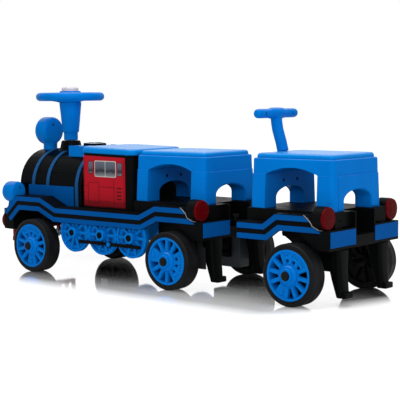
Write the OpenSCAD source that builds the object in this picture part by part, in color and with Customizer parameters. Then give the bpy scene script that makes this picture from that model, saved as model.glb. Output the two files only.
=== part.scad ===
// Ride-on train: a battery locomotive that tows a one-axle carriage.
// +X is forward, +Y is the train's left, +Z is up, and z = 0 is the floor.
// The origin lies on the floor under the middle of the train.

/* [Wheels] */
// Diameter of a tyre
tyre_d = 150; // [146:1:153]
// Width of a tyre
tyre_w = 47; // [44:1:50]
// Height of the tyre's rounded shoulder
tyre_shoulder = 6; // [3:0.5:9]
// Diameter of the rim's seat in the tyre
rim_d = 122; // [116:1:128]
// Width of the rim's outer ring
rim_ring_w = 6; // [5:0.5:9]
// Width of a rim spoke
spoke_w = 10; // [8:0.5:10.5]
// Number of rim spokes
spoke_count = 12; // [10:2:12]
// Thickness of the rim's spoke plate
spoke_t = 10; // [6:0.5:12]
// Diameter of the rim's hub
rim_hub_d = 50; // [44:1:56]
// How far the black hub end stands out of the tyre's face
hub_proud = 14; // [12:0.5:18]
// Diameter of the black hub end
hub_end_d = 22; // [18:0.5:26]
// Diameter of the hub behind the rim
hub_d = 34; // [30:0.5:40]
// Distance between the middles of the left and right tyres
track = 321; // [318:1:330]
// Diameter of the axles
axle_d = 12; // [10:0.5:14]

/* [Locomotive] */
// Distance between the front and rear axles
wheelbase = 516; // [514:1:530]
// Width over the skirts
body_w = 306; // [300:1:310]
// Height of the running boards
deck_z = 185; // [182:1:190]
// Rise of the wheel arches above the running boards
hump_rise = 26; // [23:1:28]
// Height of the skirt
skirt_h = 41; // [38:1:42]
// Thickness of the moulded walls
wall = 4; // [3:0.5:5]
// Front axle to the face of the front beam
beam_reach = 148; // [146:1:152]
// Height of the front beam
beam_h = 60; // [56:1:64]
// Axle to the face of the rear bumper, on the locomotive and the carriage
rear_reach = 96; // [92:1:98]
// Rise of the stool plinth above the running boards
plinth_rise = 31; // [30:1:34]
// Width of the stool plinth
plinth_w = 224; // [216:1:230]
// Width of the hitch pocket
pocket_w = 80; // [76:1:90]
// Diameter of the hitch pin
hitch_pin_d = 12; // [10:0.5:14]

/* [Carriage] */
// Rear axle of the locomotive to the axle of the carriage
carriage_gap = 382; // [378:1:392]
// Axle of the carriage to its front wall
carriage_front = 174; // [170:1:176]
// How much higher the carriage body rides
carriage_lift = 4; // [0:0.5:6]
// Width of the drawbar
drawbar_w = 36; // [32:1:40]
// Length of the T-handle's bar
handle_w = 164; // [150:1:180]
// Diameter of the T-handle's bar
handle_d = 23; // [20:0.5:25]
// Height of the T-handle's bar above the carriage seat
handle_rise = 95; // [85:1:110]

/* [Boiler] */
// Diameter of the boiler
boiler_d = 204; // [198:1:206]
// Height of the boiler's axis
boiler_axis_z = 238; // [236:1:242]
// Front axle to the boiler's front
boiler_reach = 132; // [130:1:134]
// Width of a boiler band
band_w = 12; // [8:0.5:16]
// Thickness of the bands and side panels
trim_t = 3; // [2:0.5:4]
// Diameter of the smokebox door
door_d = 118; // [100:1:120]
// Diameter of the top lamp
top_lamp_d = 82; // [76:1:88]
// Height of the top lamp's axis above the boiler's top
top_lamp_rise = 54; // [52:1:58]
// Diameter of a front lamp
front_lamp_d = 60; // [56:1:62]

/* [Cab] */
// Front axle to the cab's front wall
cab_start = 126; // [125:1:128]
// Gap between the cab and the stool's plinth
cab_gap = 14; // [9:0.5:18]
// How far the cab's sides stand out from the boiler's sides
cab_over = 2; // [1:0.5:4]
// Depth of the cab's front edge below the boiler's top
cab_sink = 2; // [1:0.5:4]
// Drop of the cab's top edge towards the rear
cab_fall = 4; // [2:0.5:6]
// Radius of the cab's corners
cab_corner_r = 25; // [18:1:30]
// Thickness of the driver's seat
seat_t = 17; // [15:0.5:18]
// Overhang of the driver's seat
seat_over = 3; // [1:0.5:4]
// Thickness of a red side panel
panel_t = 2; // [1:0.5:3]

/* [Stools] */
// Length of a stool at the top
stool_top_l = 242; // [236:1:244]
// Width of a stool at the top
stool_top_w = 203; // [194:1:206]
// Length of a stool at the foot
stool_foot_l = 244; // [240:1:248]
// Width of a stool at the foot
stool_foot_w = 217; // [210:1:220]
// Height of a stool without its lid
stool_h = 122; // [120:1:126]
// Radius of a stool's corners
stool_corner_r = 11; // [8:0.5:14]
// Thickness of a stool's lid
stool_lid_t = 12; // [9:0.5:14]
// How far the lid stands in from the stool's edge
stool_lid_inset = 8; // [5:0.5:12]
// How far the stool's middle is ahead of the axle
stool_ahead = 56; // [55:0.5:57]
// How far the carriage stool's middle is ahead of its axle
car_stool_ahead = 48; // [47:0.5:49]
// Length of the side arch
side_arch_l = 152; // [140:1:156]
// Rise of the side arch's crown
side_arch_rise = 17; // [12:0.5:20]
// Width of the end arch
end_arch_w = 120; // [110:1:126]
// Rise of the end arch's crown
end_arch_rise = 26; // [22:0.5:30]

/* [Steering] */
// Front axle to the steering column
column_x = 21; // [18:1:23]
// Diameter over the steering wheel
steer_d = 200; // [190:1:206]
// Thickness of the steering wheel's ring
steer_ring_d = 25; // [20:0.5:28]
// Height of the steering wheel's ring
steer_z = 495; // [493:1:500]
// Diameter of the horn cap
horn_d = 50; // [44:1:52]
// Diameter of the steering shaft
shaft_d = 12; // [10:0.5:14]
// Tyre's middle to the kingpin
kingpin_offset = 43; // [41:0.5:45]
// Diameter of a kingpin
kingpin_d = 16; // [14:0.5:18]
// Length of the steering arms
steer_arm = 40; // [36:1:42]
// Diameter of the steering arms' pins
arm_pin_d = 8; // [6:0.5:9]

/* [Drive] */
// Module of the gear teeth
gear_module = 1.5; // [1.4:0.05:1.55]
// Teeth of the drive gear
gear_teeth = 48; // [44:4:48]
// Teeth of the motor pinion
pinion_teeth = 12; // [11:1:13]
// Width of the drive gear
gear_w = 12; // [9:0.5:13]
// Diameter of the motor
motor_d = 35; // [30:0.5:36]
// Length of the motor
motor_l = 55; // [45:1:57]

/* [Fits] */
// Radial clearance of a running fit
run_fit = 0.05; // [0.03:0.01:0.08]
// Radial clearance of the open pivots
open_fit = 0.4; // [0.3:0.05:0.6]
// Gap between pieces that move past each other
side_gap = 1; // [0.6:0.1:1.5]

/* [Hidden] */
$fn = 64;
hull_fn = 32;
overrun = 1;

// Colours
blue = [0.0, 0.42, 0.80];
dark_blue = [0.0, 0.30, 0.60];
black = [0.07, 0.07, 0.07];
tyre_black = [0.12, 0.12, 0.12];
red = [0.72, 0.08, 0.12];
lens_red = [0.45, 0.03, 0.06];
steel = [0.72, 0.73, 0.75];
grey = [0.25, 0.25, 0.27];
clear = [0.92, 0.93, 0.95];

// Places of the axles along the train
front_end = 166;
leg_reach = 110;
rear_end = wheelbase + carriage_gap + leg_reach;
x_front = (rear_end - front_end) / 2;
x_rear = x_front - wheelbase;
x_car = x_rear - carriage_gap;
x_column = x_front + column_x;
axle_z = tyre_d / 2;
axle_r = axle_d / 2;
half_w = body_w / 2;
car_deck_z = deck_z + carriage_lift;

// Side outline of the locomotive and the carriage
slope_reach = 146;
slope_drop = 46;
hump_front = 95;
hump_back_front = 10;
board_start = 72;
loco_step_foot = 123;
loco_step_head = 67;
car_step_foot = 97;
car_step_head = 60;
hump_back = 24;
slant_foot = 66;
bumper_drop = 7;
bumper_low = 54;
bumper_front = 55;
bumper_toe = 11;
beam_back = 108;
beam_top_drop = 13;
beam_z1 = deck_z - beam_top_drop;
beam_z0 = beam_z1 - beam_h;
hump_z = deck_z + hump_rise;

// Lamp pods and red lenses
pod_r = 28;
pod_y = 139;
pod_rise = 20.5;
pod_face = 80;
pod_back = 54;
lens_r = 27;
lens_t = 6;
front_pod_y = 125;
front_pod_l = 30;
front_lens_t = 16;
front_pod_rise = 23;

// Plinth, hitch pocket and axle brackets
plinth_back = 84;
pocket_back = 46;
shelf_drop = 27;
shelf_t = 13;
hitch_back = 80;
hitch_x = x_rear - hitch_back;
car_hitch_x = x_car - hitch_back;
shelf_z = deck_z - shelf_drop;
bracket_y = 57;
bracket_t = 10;
bracket_l = 28;
bracket_foot = 15;
stool_x = x_rear + stool_ahead;
car_stool_x = x_car + car_stool_ahead;
plinth_front_x = stool_x + stool_foot_l / 2;
car_plinth_front_x = x_car + carriage_front;
plinth_z = deck_z + plinth_rise;
car_plinth_z = car_deck_z + plinth_rise;
stool_z = plinth_z + stool_h;
car_stool_z = car_plinth_z + stool_h;

// Wheel places
tyre_r = tyre_d / 2;
tyre_in_y = track / 2 - tyre_w / 2;
hub_boss = 8;
hub_web_z0 = 12;
hub_web_z1 = 17;
hub_seat = 40;
bore_end = 36;
axle_tip_y = tyre_in_y + bore_end - side_gap;
rim_seat_r = rim_d / 2;
rim_fit = 0.2;
back_rim_r = 58;
rim_face_recess = 3;
rim_hub_step = 4;
rim_hub_lift = 5;

// Rim pattern
weight_depth = 17;
weight_windows = 1;
window_root_r = 27;
window_steps = 4;
front_turn = 180;
rear_turn = 74;
carriage_turn = 156;

// Steering places
kingpin_y = track / 2 - kingpin_offset;
kingpin_r = kingpin_d / 2;
boss_wall = 6;
boss_z = 128;
boss_bore = 44;
knuckle_l = 28;
knuckle_w = 20;
knuckle_z0 = 58;
arm_z = 100;
arm_t = 8;
arm_w = 16;
arm_pin_r = arm_pin_d / 2;
tie_gap = 2;
tie_z = arm_z + arm_t + tie_gap;
tie_t = 8;
tie_w = 12;
tie_eye_r = 9;
pin_over = 3;
crank_z = tie_z + tie_t + tie_gap;
crank_t = 8;
shaft_r = shaft_d / 2;
shaft_boss_r = 13;
shaft_boss_h = 24;

// Steering column, wheel and horn cap
boiler_r = boiler_d / 2;
boiler_top_z = boiler_axis_z + boiler_r;
collar_low_r = 31.5;
collar_top_r = 21.5;
collar_sink = 8;
collar_h = 27;
collar_top_z = boiler_top_z + collar_h;
neck_r = 20.5;
neck_h = 22;
sleeve_low_r = 24;
sleeve_top_r = 32.5;
sleeve_lip = 2;
hub_low = 17;
steer_hub_z = steer_z - hub_low;
steer_hub_top = 17;
steer_hub_r = 30.5;
horn_pocket = 10;
horn_fit = 0.5;
horn_travel = 3;
horn_gap = 0.6;
horn_h = 18.5;
horn_edge = 4;
steer_spoke_r = 8;
steer_spokes = 3;
steer_spoke_drop = 4;
shaft_in_hub = 19;

// Boiler trim, dash and lamps
panel_front = 93;
panel_back = 96;
panel_z = 241;
band_places = [73, 12, -108];
panel_bands = 2;
boiler_l = boiler_reach + cab_start;
shaft_hole_gap = 6;
door_t = 7;
door_rise = 5;
door_knob_r = 9;
door_knob_t = 7;
door_hub_r = 16;
dash_front = 28;
dash_back = 100;
dash_w = 112;
dash_rise = 14;
dash_z = boiler_top_z + dash_rise;
control_w = 62;
control_l = 32;
control_gap = 5;
control_t = 8;
control_fall = 2;
top_lamp_x = 120;
top_lamp_z = boiler_top_z + top_lamp_rise;
top_lamp_l = 34;
top_lamp_dome = 12;
top_lamp_neck_d = 41;
top_lamp_neck_back = 9;
lamp_wall = 3;
lamp_recess = 5;
front_lamp_gap = 2;
front_lamp_y = boiler_r + front_lamp_gap + front_lamp_d / 2;
front_lamp_z = 220;
front_lamp_l = 36;
front_lamp_front = 147;
front_lamp_dome = 8;
front_foot_l = 22;
front_foot_back = 4;
front_foot_w = 24;
front_foot_top_l = 27;

// Cab, driver's seat, hinge and battery
cab_l = wheelbase - cab_start - stool_ahead - stool_foot_l / 2 - cab_gap;
cab_w = boiler_d + 2 * cab_over;
cab_z = boiler_top_z - cab_sink;
cab_x1 = x_front - cab_start;
cab_x0 = cab_x1 - cab_l;
tray_z = 240;
tray_t = 3;
panel_margin_front = 14;
panel_margin_back = 24;
panel_low = 3;
panel_top_gap = 6;
hinge_back = 110;
hinge_x = x_front - hinge_back;
hinge_drop = 5;
hinge_z = dash_z - hinge_drop;
hinge_pin_r = 3;
hinge_ear_r = 7;
hinge_barrel_r = 6;
hinge_half = 43;
hinge_ear_t = 12;
hinge_web_t = 8;
lip_t = 3;
lip_h = 6;
lip_gap = 2;
battery_margin = 19.5;
battery_l = cab_l - 2 * wall - 2 * battery_margin;
battery_w = 94;
battery_h = 34;
terminal_r = 4;
terminal_h = 5;
terminal_inset = 16;

// Stool details
stool_wall = 4;
stool_slab = 1;
side_spring = 84;
end_spring = 23;
arch_steps = 24;

// False driving wheels, coupling rods, bands and plates
false_front_gap = 13;
false_rear_gap = 25;
false_count = 3;
false_room = wheelbase - tyre_d - false_front_gap - false_rear_gap;
false_r = false_room / false_count / 2;
false_first = tyre_d / 2 + false_front_gap + false_r;
false_wheels = [for (i = [0 : false_count - 1]) -false_first - 2 * i * false_r];
false_z = 120;
false_t = 13;
false_back_t = 6;
false_hub_share = 0.2744;
false_hub_r = false_hub_share * false_r;
false_hub_proud = 10;
false_rim_w = 7;
false_rim_t = 5;
false_web_z0 = 104;
false_web_z1 = 178;
false_web_back = 60;
crank_back_share = 0.55;
crank_drop_share = 0.42;
crank_back = crank_back_share * false_r;
rod_z0 = false_z - crank_drop_share * false_r;
rod_h = 9;
rod_t = 6;
rod_eye_r = 8.5;
rod_pin_r = 6;
rod_pin_over = 2;
stripe_t = 1.5;
stripe_w = 13;
stripe_start = 2;
stripe_pitch = 25;
plate_inner = 43;
plate_margin = 3;
stripe_end_gap = 2;
leg_y = 90;
leg_w = 36;
leg_top_front = 60;
leg_top_back = 90;
leg_foot_front = 82;
leg_foot_z = 20;
toe_h = 14;
toe_l = 9;

// Pilot
pilot_w = 240;
pilot_nose_w = 90;
pilot_top_t = 8;
pilot_z0 = 72;
pilot_back = 120;
pilot_face = 150;
pilot_side = 152;
pilot_foot = 165;
pilot_foot_t = 12;
pilot_bars = 9;
pilot_bar_w = 9;
pilot_bar_t = 10;

// Foot pedal
pedal_x = 118;
pedal_l = 62;
pedal_t = 5;
pedal_tilt = 11;
pedal_pin_r = 3;
pedal_pin_l = 4;
pedal_ear_t = 5;
pedal_ear_r = 6;
pedal_rise = 7;
pedal_gap = 3;
pedal_w = half_w - wall - 2 * (pedal_ear_t + pedal_pin_l) - cab_w / 2 - pedal_gap;
pedal_y = half_w - wall - pedal_ear_t - pedal_pin_l - pedal_w / 2;

// Drive
gear_r = gear_module * gear_teeth / 2;
pinion_r = gear_module * pinion_teeth / 2;
pressure_angle = 25;
addendum_share = 0.8;
dedendum_share = 1.05;
addendum = addendum_share * gear_module;
dedendum = dedendum_share * gear_module;
backlash = 0.3;
flank_steps = 6;
motor_angle = 40;
motor_x = x_rear + (gear_r + pinion_r) * cos(motor_angle);
motor_z = axle_z + (gear_r + pinion_r) * sin(motor_angle);
box_wall = 3;
box_room = 2.5;
box_y0 = bracket_y + bracket_t;
box_depth = 37;
gear_in = 20;
gear_y = box_y0 + gear_in;
gear_sleeve_r = 11;
motor_shaft_r = 2.5;
motor_shaft_hole = 5;
motor_boss_r = 8;
motor_boss_h = 4;
cover_t = 3;

// Drawbar and T-handle
drawbar_t = 12;
drawbar_gap = 2;
drawbar_z = shelf_z + drawbar_gap;
pin_head_r = 9;
pin_head_t = 6;
pin_head_gap = 8;
handle_ahead = 168;
handle_x = x_car + handle_ahead;
handle_lean = 21;
handle_post_r = 14;
handle_base_t = 5;
handle_crown_w = 60;
handle_crown_r = 14.5;
handle_bow_share = 0.57;
handle_bow = 4;

// Unit direction, left normal, and a line shifted square to itself with mitred corners
function unit(v) = v / norm(v);
function left_of(a, b) = let (u = unit(b - a)) [-u.y, u.x];
function mitre(a, b, c) = let (m = left_of(a, b) + left_of(b, c)) 2 * m / (m * m);
function shifted(line, d) = [for (i = [0 : len(line) - 1])
    i == 0 ? line[0] + d * left_of(line[0], line[1])
    : i == len(line) - 1 ? line[i] + d * left_of(line[i - 1], line[i])
    : line[i] + d * mitre(line[i - 1], line[i], line[i + 1])];
function reversed(list) = [for (i = [len(list) - 1 : -1 : 0]) list[i]];
function strip(line, d0, d1) = concat(shifted(line, d0), reversed(shifted(line, d1)));

// Top line of the skirt over an axle, from the step to the rear of the hump
function hump_line(x, z, foot, head) = [
    [x + foot, z],
    [x + head, z + hump_rise],
    [x - hump_back, z + hump_rise]];
function bumper_line(x, z) = [[x - slant_foot, z - bumper_drop], [x - rear_reach, z - bumper_drop]];

loco_line = concat(
    [[x_front + slope_reach, hump_z - slope_drop],
     [x_front + hump_front, hump_z],
     [x_front - hump_back_front, hump_z],
     [x_front - board_start, deck_z]],
    hump_line(x_rear, deck_z, loco_step_foot, loco_step_head));
car_line = concat(
    [[x_car + carriage_front, car_deck_z]],
    hump_line(x_car, car_deck_z, car_step_foot, car_step_head));

// Basic shapes
module across(y0, y1) {
    translate([0, y1, 0]) rotate([90, 0, 0]) linear_extrude(y1 - y0) children();
}
module along(x0, x1) {
    translate([x0, 0, 0]) rotate([90, 0, 90]) linear_extrude(x1 - x0) children();
}
module box(x0, x1, y0, y1, z0, z1) {
    translate([x0, y0, z0]) cube([x1 - x0, y1 - y0, z1 - z0]);
}
module rod_x(y, z, r, x0, x1) {
    translate([x0, y, z]) rotate([0, 90, 0]) cylinder(r = r, h = x1 - x0);
}
module rod_y(x, z, r, y0, y1) {
    translate([x, y1, z]) rotate([90, 0, 0]) cylinder(r = r, h = y1 - y0);
}
module rod_z(x, y, r, z0, z1) {
    translate([x, y, z0]) cylinder(r = r, h = z1 - z0);
}
module both_sides() {
    children();
    mirror([0, 1, 0]) children();
}
module round_rect(l, w, r) {
    square([l - 2 * r, w], center = true);
    square([l, w - 2 * r], center = true);
    for (x = [-1, 1], y = [-1, 1]) translate([x * (l / 2 - r), y * (w / 2 - r)]) circle(r = r);
}

// Chassis pieces that the locomotive and the carriage share
module chassis_shell(line, x, z, plinth_x) {
    full_line = concat(line, bumper_line(x, z));
    across(-half_w, half_w) polygon(strip(full_line, 0, wall));
    both_sides() across(half_w - wall, half_w) {
        polygon(strip(line, 0, skirt_h));
        polygon([
            [x - hump_back, z + hump_rise],
            [x - slant_foot, z - bumper_drop],
            [x - rear_reach, z - bumper_drop],
            [x - rear_reach, z - bumper_low],
            [x - bumper_front, z - bumper_low],
            [x - bumper_toe, z + hump_rise - skirt_h]]);
    }
    box(x - rear_reach, x - rear_reach + wall, -half_w, half_w, z - bumper_low, z - bumper_drop);
    box(x - rear_reach, x - bumper_front, -half_w, half_w, z - bumper_low, z - bumper_low + wall);
    box(x - plinth_back, plinth_x, -plinth_w / 2, plinth_w / 2, z - wall, z + plinth_rise);
    both_sides() rod_x(pod_y, z + pod_rise, pod_r, x - pod_face, x - pod_back);
}
module plinth_room(x, z, plinth_x) {
    box(x - plinth_back + wall, plinth_x - wall, -plinth_w / 2 + wall, plinth_w / 2 - wall,
        0, z + plinth_rise - wall);
}
module chassis_inner(x, z) {
    both_sides() box(x - bracket_l / 2, x + bracket_l / 2, bracket_y, bracket_y + bracket_t,
        axle_z - bracket_foot, z + plinth_rise - wall / 2);
    box(x - rear_reach, x - pocket_back + wall, -pocket_w / 2 - wall, pocket_w / 2 + wall,
        z - shelf_drop - shelf_t, z + plinth_rise);
}
module chassis_cuts(x, z) {
    box(x - rear_reach - overrun, x - pocket_back, -pocket_w / 2, pocket_w / 2,
        z - shelf_drop, z + plinth_rise + overrun);
    rod_z(x - hitch_back, 0, hitch_pin_d / 2 + run_fit,
        z - shelf_drop - shelf_t - overrun, z - shelf_drop + overrun);
    rod_y(x, axle_z, axle_r + run_fit, -half_w, half_w);
}
module rear_lenses(x, z) {
    both_sides() rod_x(pod_y, z + pod_rise, lens_r, x - pod_face - lens_t, x - pod_face);
}
module stripes(line, x, z) {
    run = slant_foot - hump_back;
    drop = hump_rise + bumper_drop;
    long_line = concat(line, [[x - slant_foot - run, z + hump_rise]]);
    slant = [[x - hump_back, z + hump_rise], [x - slant_foot - run, z + hump_rise - 2 * drop]];
    for (i = [0, 1]) {
        start = stripe_start + i * stripe_pitch;
        both_sides() difference() {
            across(half_w, half_w + stripe_t) difference() {
                polygon(strip(long_line, start, start + stripe_w));
                polygon(strip(shifted(slant, stripe_end_gap), 0, -2 * slant_foot));
            }
            rod_x(pod_y, z + pod_rise, pod_r + rim_fit, x - rear_reach, x - pod_back + rim_fit);
        }
    }
}
module rear_plates(x, z) {
    both_sides() box(x - rear_reach - stripe_t, x - rear_reach, plate_inner, half_w - plate_margin,
        z - bumper_low + plate_margin + wall, z - bumper_drop - plate_margin);
}
module rear_legs(x, z) {
    both_sides() across(leg_y - leg_w / 2, leg_y + leg_w / 2) polygon([
        [x - leg_top_front, z - bumper_low],
        [x - leg_foot_front, leg_foot_z],
        [x - leg_reach, leg_foot_z],
        [x - leg_reach, leg_foot_z + toe_h],
        [x - leg_reach + toe_l, leg_foot_z + toe_h],
        [x - leg_top_back, z - bumper_low]]);
}

// Everything below the locomotive's deck line, to seat what stands on it
module below_deck() {
    across(-half_w, half_w) polygon(concat(
        [[x_front + slope_reach, 0]], loco_line, [[x_rear - hump_back, 0]]));
}

module loco_chassis() color(black) {
    difference() {
        union() {
            difference() {
                union() {
                    chassis_shell(loco_line, x_rear, deck_z, plinth_front_x);
                    box(x_front + beam_back, x_front + beam_reach, -half_w, half_w, beam_z0, beam_z1);
                    front_pods(pod_r, 0);
                }
                plinth_room(x_rear, deck_z, plinth_front_x);
                box(x_front + beam_back - overrun, x_front + beam_reach - wall,
                    wall - front_pod_y + pod_r, front_pod_y - pod_r - wall, beam_z0 + wall, beam_z1 - wall);
            }
            chassis_inner(x_rear, deck_z);
            both_sides() rod_z(x_front, kingpin_y, kingpin_r + boss_wall, boss_z, hump_z - wall / 2);
            rod_z(x_column, 0, shaft_boss_r, hump_z - shaft_boss_h, hump_z - wall / 2);
            for (y = [-1, 1]) pedal_ear(-pedal_y + y * (pedal_w / 2 + pedal_pin_l / 2 + pedal_ear_t / 2));
        }
        chassis_cuts(x_rear, deck_z);
        both_sides() rod_z(x_front, kingpin_y, kingpin_r + run_fit, boss_z - overrun, boss_z + boss_bore);
        rod_z(x_column, 0, shaft_r + run_fit, hump_z - shaft_boss_h - overrun, hump_z + overrun);
        rod_y(x_front - pedal_x - pedal_l, deck_z + pedal_rise, pedal_pin_r + run_fit,
            -half_w, -cab_w / 2);
    }
}
module front_pods(r, ahead) {
    both_sides() rod_x(front_pod_y, beam_z0 + front_pod_rise, r,
        x_front + beam_reach - front_pod_l, x_front + beam_reach + ahead);
}
module pedal_ear(y) {
    across(y - pedal_ear_t / 2, y + pedal_ear_t / 2) {
        translate([x_front - pedal_x - pedal_l, deck_z + pedal_rise]) circle(r = pedal_ear_r);
        translate([x_front - pedal_x - pedal_l - pedal_ear_r, deck_z - wall / 2])
            square([2 * pedal_ear_r, pedal_rise + wall / 2]);
    }
}
module foot_pedal() color(grey) {
    hinge = [x_front - pedal_x - pedal_l, -pedal_y, deck_z + pedal_rise];
    translate(hinge) {
        rod_y(0, 0, pedal_pin_r, -pedal_w / 2 - pedal_pin_l, pedal_w / 2 + pedal_pin_l);
        across(-pedal_w / 2, pedal_w / 2) {
            circle(r = pedal_ear_r - side_gap);
            rotate(pedal_tilt) translate([0, -pedal_t / 2]) square([pedal_l, pedal_t]);
        }
    }
}

// Boiler
module tunnel(r) {
    translate([0, boiler_axis_z]) circle(r = r);
    translate([-r, 0]) square([2 * r, boiler_axis_z]);
}
module boiler_solid() {
    along(x_front - cab_start, x_front + boiler_reach) tunnel(boiler_r);
}
module boiler_shell() color(black) {
    difference() {
        boiler_solid();
        along(x_front - cab_start - overrun, x_front + boiler_reach - wall) tunnel(boiler_r - wall);
        below_deck();
        rod_z(x_column, 0, shaft_r + shaft_hole_gap, boiler_axis_z, boiler_top_z + overrun);
    }
}
module smokebox_door() color(black) {
    translate([x_front + boiler_reach, 0, boiler_axis_z + door_rise]) rotate([0, 90, 0]) rotate_extrude()
        polygon([
            [0, 0],
            [door_d / 2, 0],
            [door_d / 2, door_t / 2],
            [door_d / 2 - door_t, door_t],
            [door_hub_r, door_t],
            [door_hub_r, door_t + door_knob_t / 2],
            [door_knob_r, door_t + door_knob_t],
            [0, door_t + door_knob_t]]);
}
module boiler_bands() color(blue) {
    for (i = [0 : len(band_places) - 1]) {
        x = x_front + band_places[i];
        low = i < panel_bands ? panel_z : 0;
        difference() {
            along(x - band_w / 2, x + band_w / 2) tunnel(boiler_r + trim_t);
            boiler_solid();
            below_deck();
            box(x - band_w, x + band_w, -half_w, half_w, -overrun, low);
            rod_z(x_column, 0, collar_low_r, boiler_axis_z, collar_top_z);
        }
    }
}
module boiler_side_panels() color(blue) {
    difference() {
        both_sides() box(x_front - panel_back, x_front + panel_front, boiler_r, boiler_r + trim_t,
            deck_z, panel_z);
        below_deck();
    }
}

// Lamps
module lamp_drum(r, l, dome, recess) {
    rotate([0, 90, 0]) rotate_extrude() polygon([
        [0, -dome],
        [r - 2 * lamp_wall, -dome],
        [r, 0],
        [r, l],
        [r - lamp_wall, l],
        [r - lamp_wall, l - recess],
        [0, l - recess]]);
}
module top_lamp_housing() color(blue) {
    translate([x_front + top_lamp_x - top_lamp_l / 2, 0, top_lamp_z])
        lamp_drum(top_lamp_d / 2, top_lamp_l, top_lamp_dome, lamp_recess);
    difference() {
        rod_z(x_front + top_lamp_x - top_lamp_neck_back, 0, top_lamp_neck_d / 2, boiler_axis_z,
            top_lamp_z - top_lamp_d / 2 + lamp_wall);
        boiler_solid();
    }
}
module front_lamp_housings() color(blue) {
    low = front_lamp_z - front_lamp_d / 2 + lamp_wall;
    both_sides() difference() {
        union() {
            translate([x_front + front_lamp_front - front_lamp_l, front_lamp_y, front_lamp_z])
                lamp_drum(front_lamp_d / 2, front_lamp_l, front_lamp_dome, lamp_recess);
            across(front_lamp_y - front_foot_w / 2, front_lamp_y + front_foot_w / 2) polygon([
                [x_front + beam_reach - front_foot_l, beam_z1],
                [x_front + beam_reach - front_foot_back, beam_z1],
                [x_front + front_lamp_front - lamp_recess - lamp_wall, low],
                [x_front + front_lamp_front - front_foot_top_l, low]]);
        }
        below_deck();
    }
}
module lamp_lenses() color(clear) {
    top_x = x_front + top_lamp_x + top_lamp_l / 2;
    rod_x(0, top_lamp_z, top_lamp_d / 2 - lamp_wall - rim_fit,
        top_x - lamp_recess, top_x - lamp_recess / 3);
    front_x = x_front + front_lamp_front;
    both_sides() rod_x(front_lamp_y, front_lamp_z, front_lamp_d / 2 - lamp_wall - rim_fit,
        front_x - lamp_recess, front_x - lamp_recess / 3);
}

// Dash
module dash_block() color(blue) {
    difference() {
        union() {
            box(x_front - dash_back, x_front - dash_front, -dash_w / 2, dash_w / 2, boiler_axis_z, dash_z);
            both_sides() across(hinge_half + side_gap, hinge_half + hinge_ear_t) {
                translate([hinge_x, hinge_z]) circle(r = hinge_ear_r);
                translate([hinge_x, hinge_z - hinge_ear_r])
                    square([hinge_back - dash_back + overrun, 2 * hinge_ear_r]);
            }
        }
        boiler_solid();
        rod_y(hinge_x, hinge_z, hinge_pin_r + run_fit, -half_w, half_w);
    }
}
module control_panel() color(black) {
    x0 = x_front - dash_back + control_gap;
    across(-control_w / 2, control_w / 2) polygon([
        [x0, dash_z],
        [x0 + control_l, dash_z],
        [x0 + control_l, dash_z + control_t],
        [x0, dash_z + control_t - control_fall]]);
}
module seat_hinge_pin() color(steel) {
    rod_y(hinge_x, hinge_z, hinge_pin_r, -hinge_half - hinge_ear_t, hinge_half + hinge_ear_t);
}

// Cab
module cab_outline(grow) {
    translate([(cab_x0 + cab_x1) / 2, 0])
        round_rect(cab_l + 2 * grow, cab_w + 2 * grow, cab_corner_r + grow);
}
module cab_slab(z0, z1) {
    across(-half_w, half_w) polygon([
        [cab_x0 - half_w, cab_z - cab_fall - cab_fall * half_w / cab_l + z0],
        [cab_x1 + half_w, cab_z + cab_fall * half_w / cab_l + z0],
        [cab_x1 + half_w, cab_z + cab_fall * half_w / cab_l + z1],
        [cab_x0 - half_w, cab_z - cab_fall - cab_fall * half_w / cab_l + z1]]);
}
module cab_body() color(black) {
    intersection() {
        difference() {
            translate([0, 0, deck_z]) linear_extrude(cab_z - deck_z + overrun) cab_outline(0);
            translate([0, 0, tray_z + tray_t]) linear_extrude(cab_z - tray_z) cab_outline(-wall);
            translate([0, 0, deck_z - overrun])
                linear_extrude(tray_z - deck_z + overrun) cab_outline(-wall);
        }
        cab_slab(-cab_z, 0);
    }
}
module cab_side_panels() color(red) {
    x0 = cab_x0 + panel_margin_back;
    x1 = cab_x1 - panel_margin_front;
    fall = cab_fall / cab_l;
    both_sides() across(cab_w / 2, cab_w / 2 + panel_t) polygon([
        [x0, deck_z + panel_low],
        [x1, deck_z + panel_low],
        [x1, cab_z - panel_top_gap - fall * (cab_x1 - x1)],
        [x0, cab_z - panel_top_gap - fall * (cab_x1 - x0)]]);
}
module seat_lid() color(blue) {
    difference() {
        union() {
            intersection() {
                translate([0, 0, tray_z]) linear_extrude(cab_z) cab_outline(seat_over);
                cab_slab(side_gap, side_gap + seat_t);
            }
            intersection() {
                translate([0, 0, tray_z]) linear_extrude(cab_z) difference() {
                    cab_outline(-wall - lip_gap);
                    cab_outline(-wall - lip_gap - lip_t);
                }
                cab_slab(side_gap - lip_h, side_gap + overrun);
            }
            across(-hinge_half, hinge_half) {
                translate([hinge_x, hinge_z]) circle(r = hinge_barrel_r);
                translate([cab_x1 - cab_corner_r, hinge_z - hinge_web_t / 2])
                    square([hinge_x - cab_x1 + cab_corner_r, hinge_web_t]);
            }
        }
        rod_y(hinge_x, hinge_z, hinge_pin_r + run_fit, -half_w, half_w);
        along(cab_x1 - side_gap, cab_x1 + 2 * seat_over) tunnel(boiler_r + side_gap);
    }
}
module battery() color(grey) {
    xm = (cab_x0 + cab_x1) / 2;
    box(xm - battery_l / 2, xm + battery_l / 2, -battery_w / 2, battery_w / 2, deck_z, deck_z + battery_h);
    both_sides() rod_z(xm + battery_l / 2 - terminal_inset, battery_w / 2 - terminal_inset, terminal_r,
        deck_z + battery_h - overrun, deck_z + battery_h + terminal_h);
}

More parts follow.
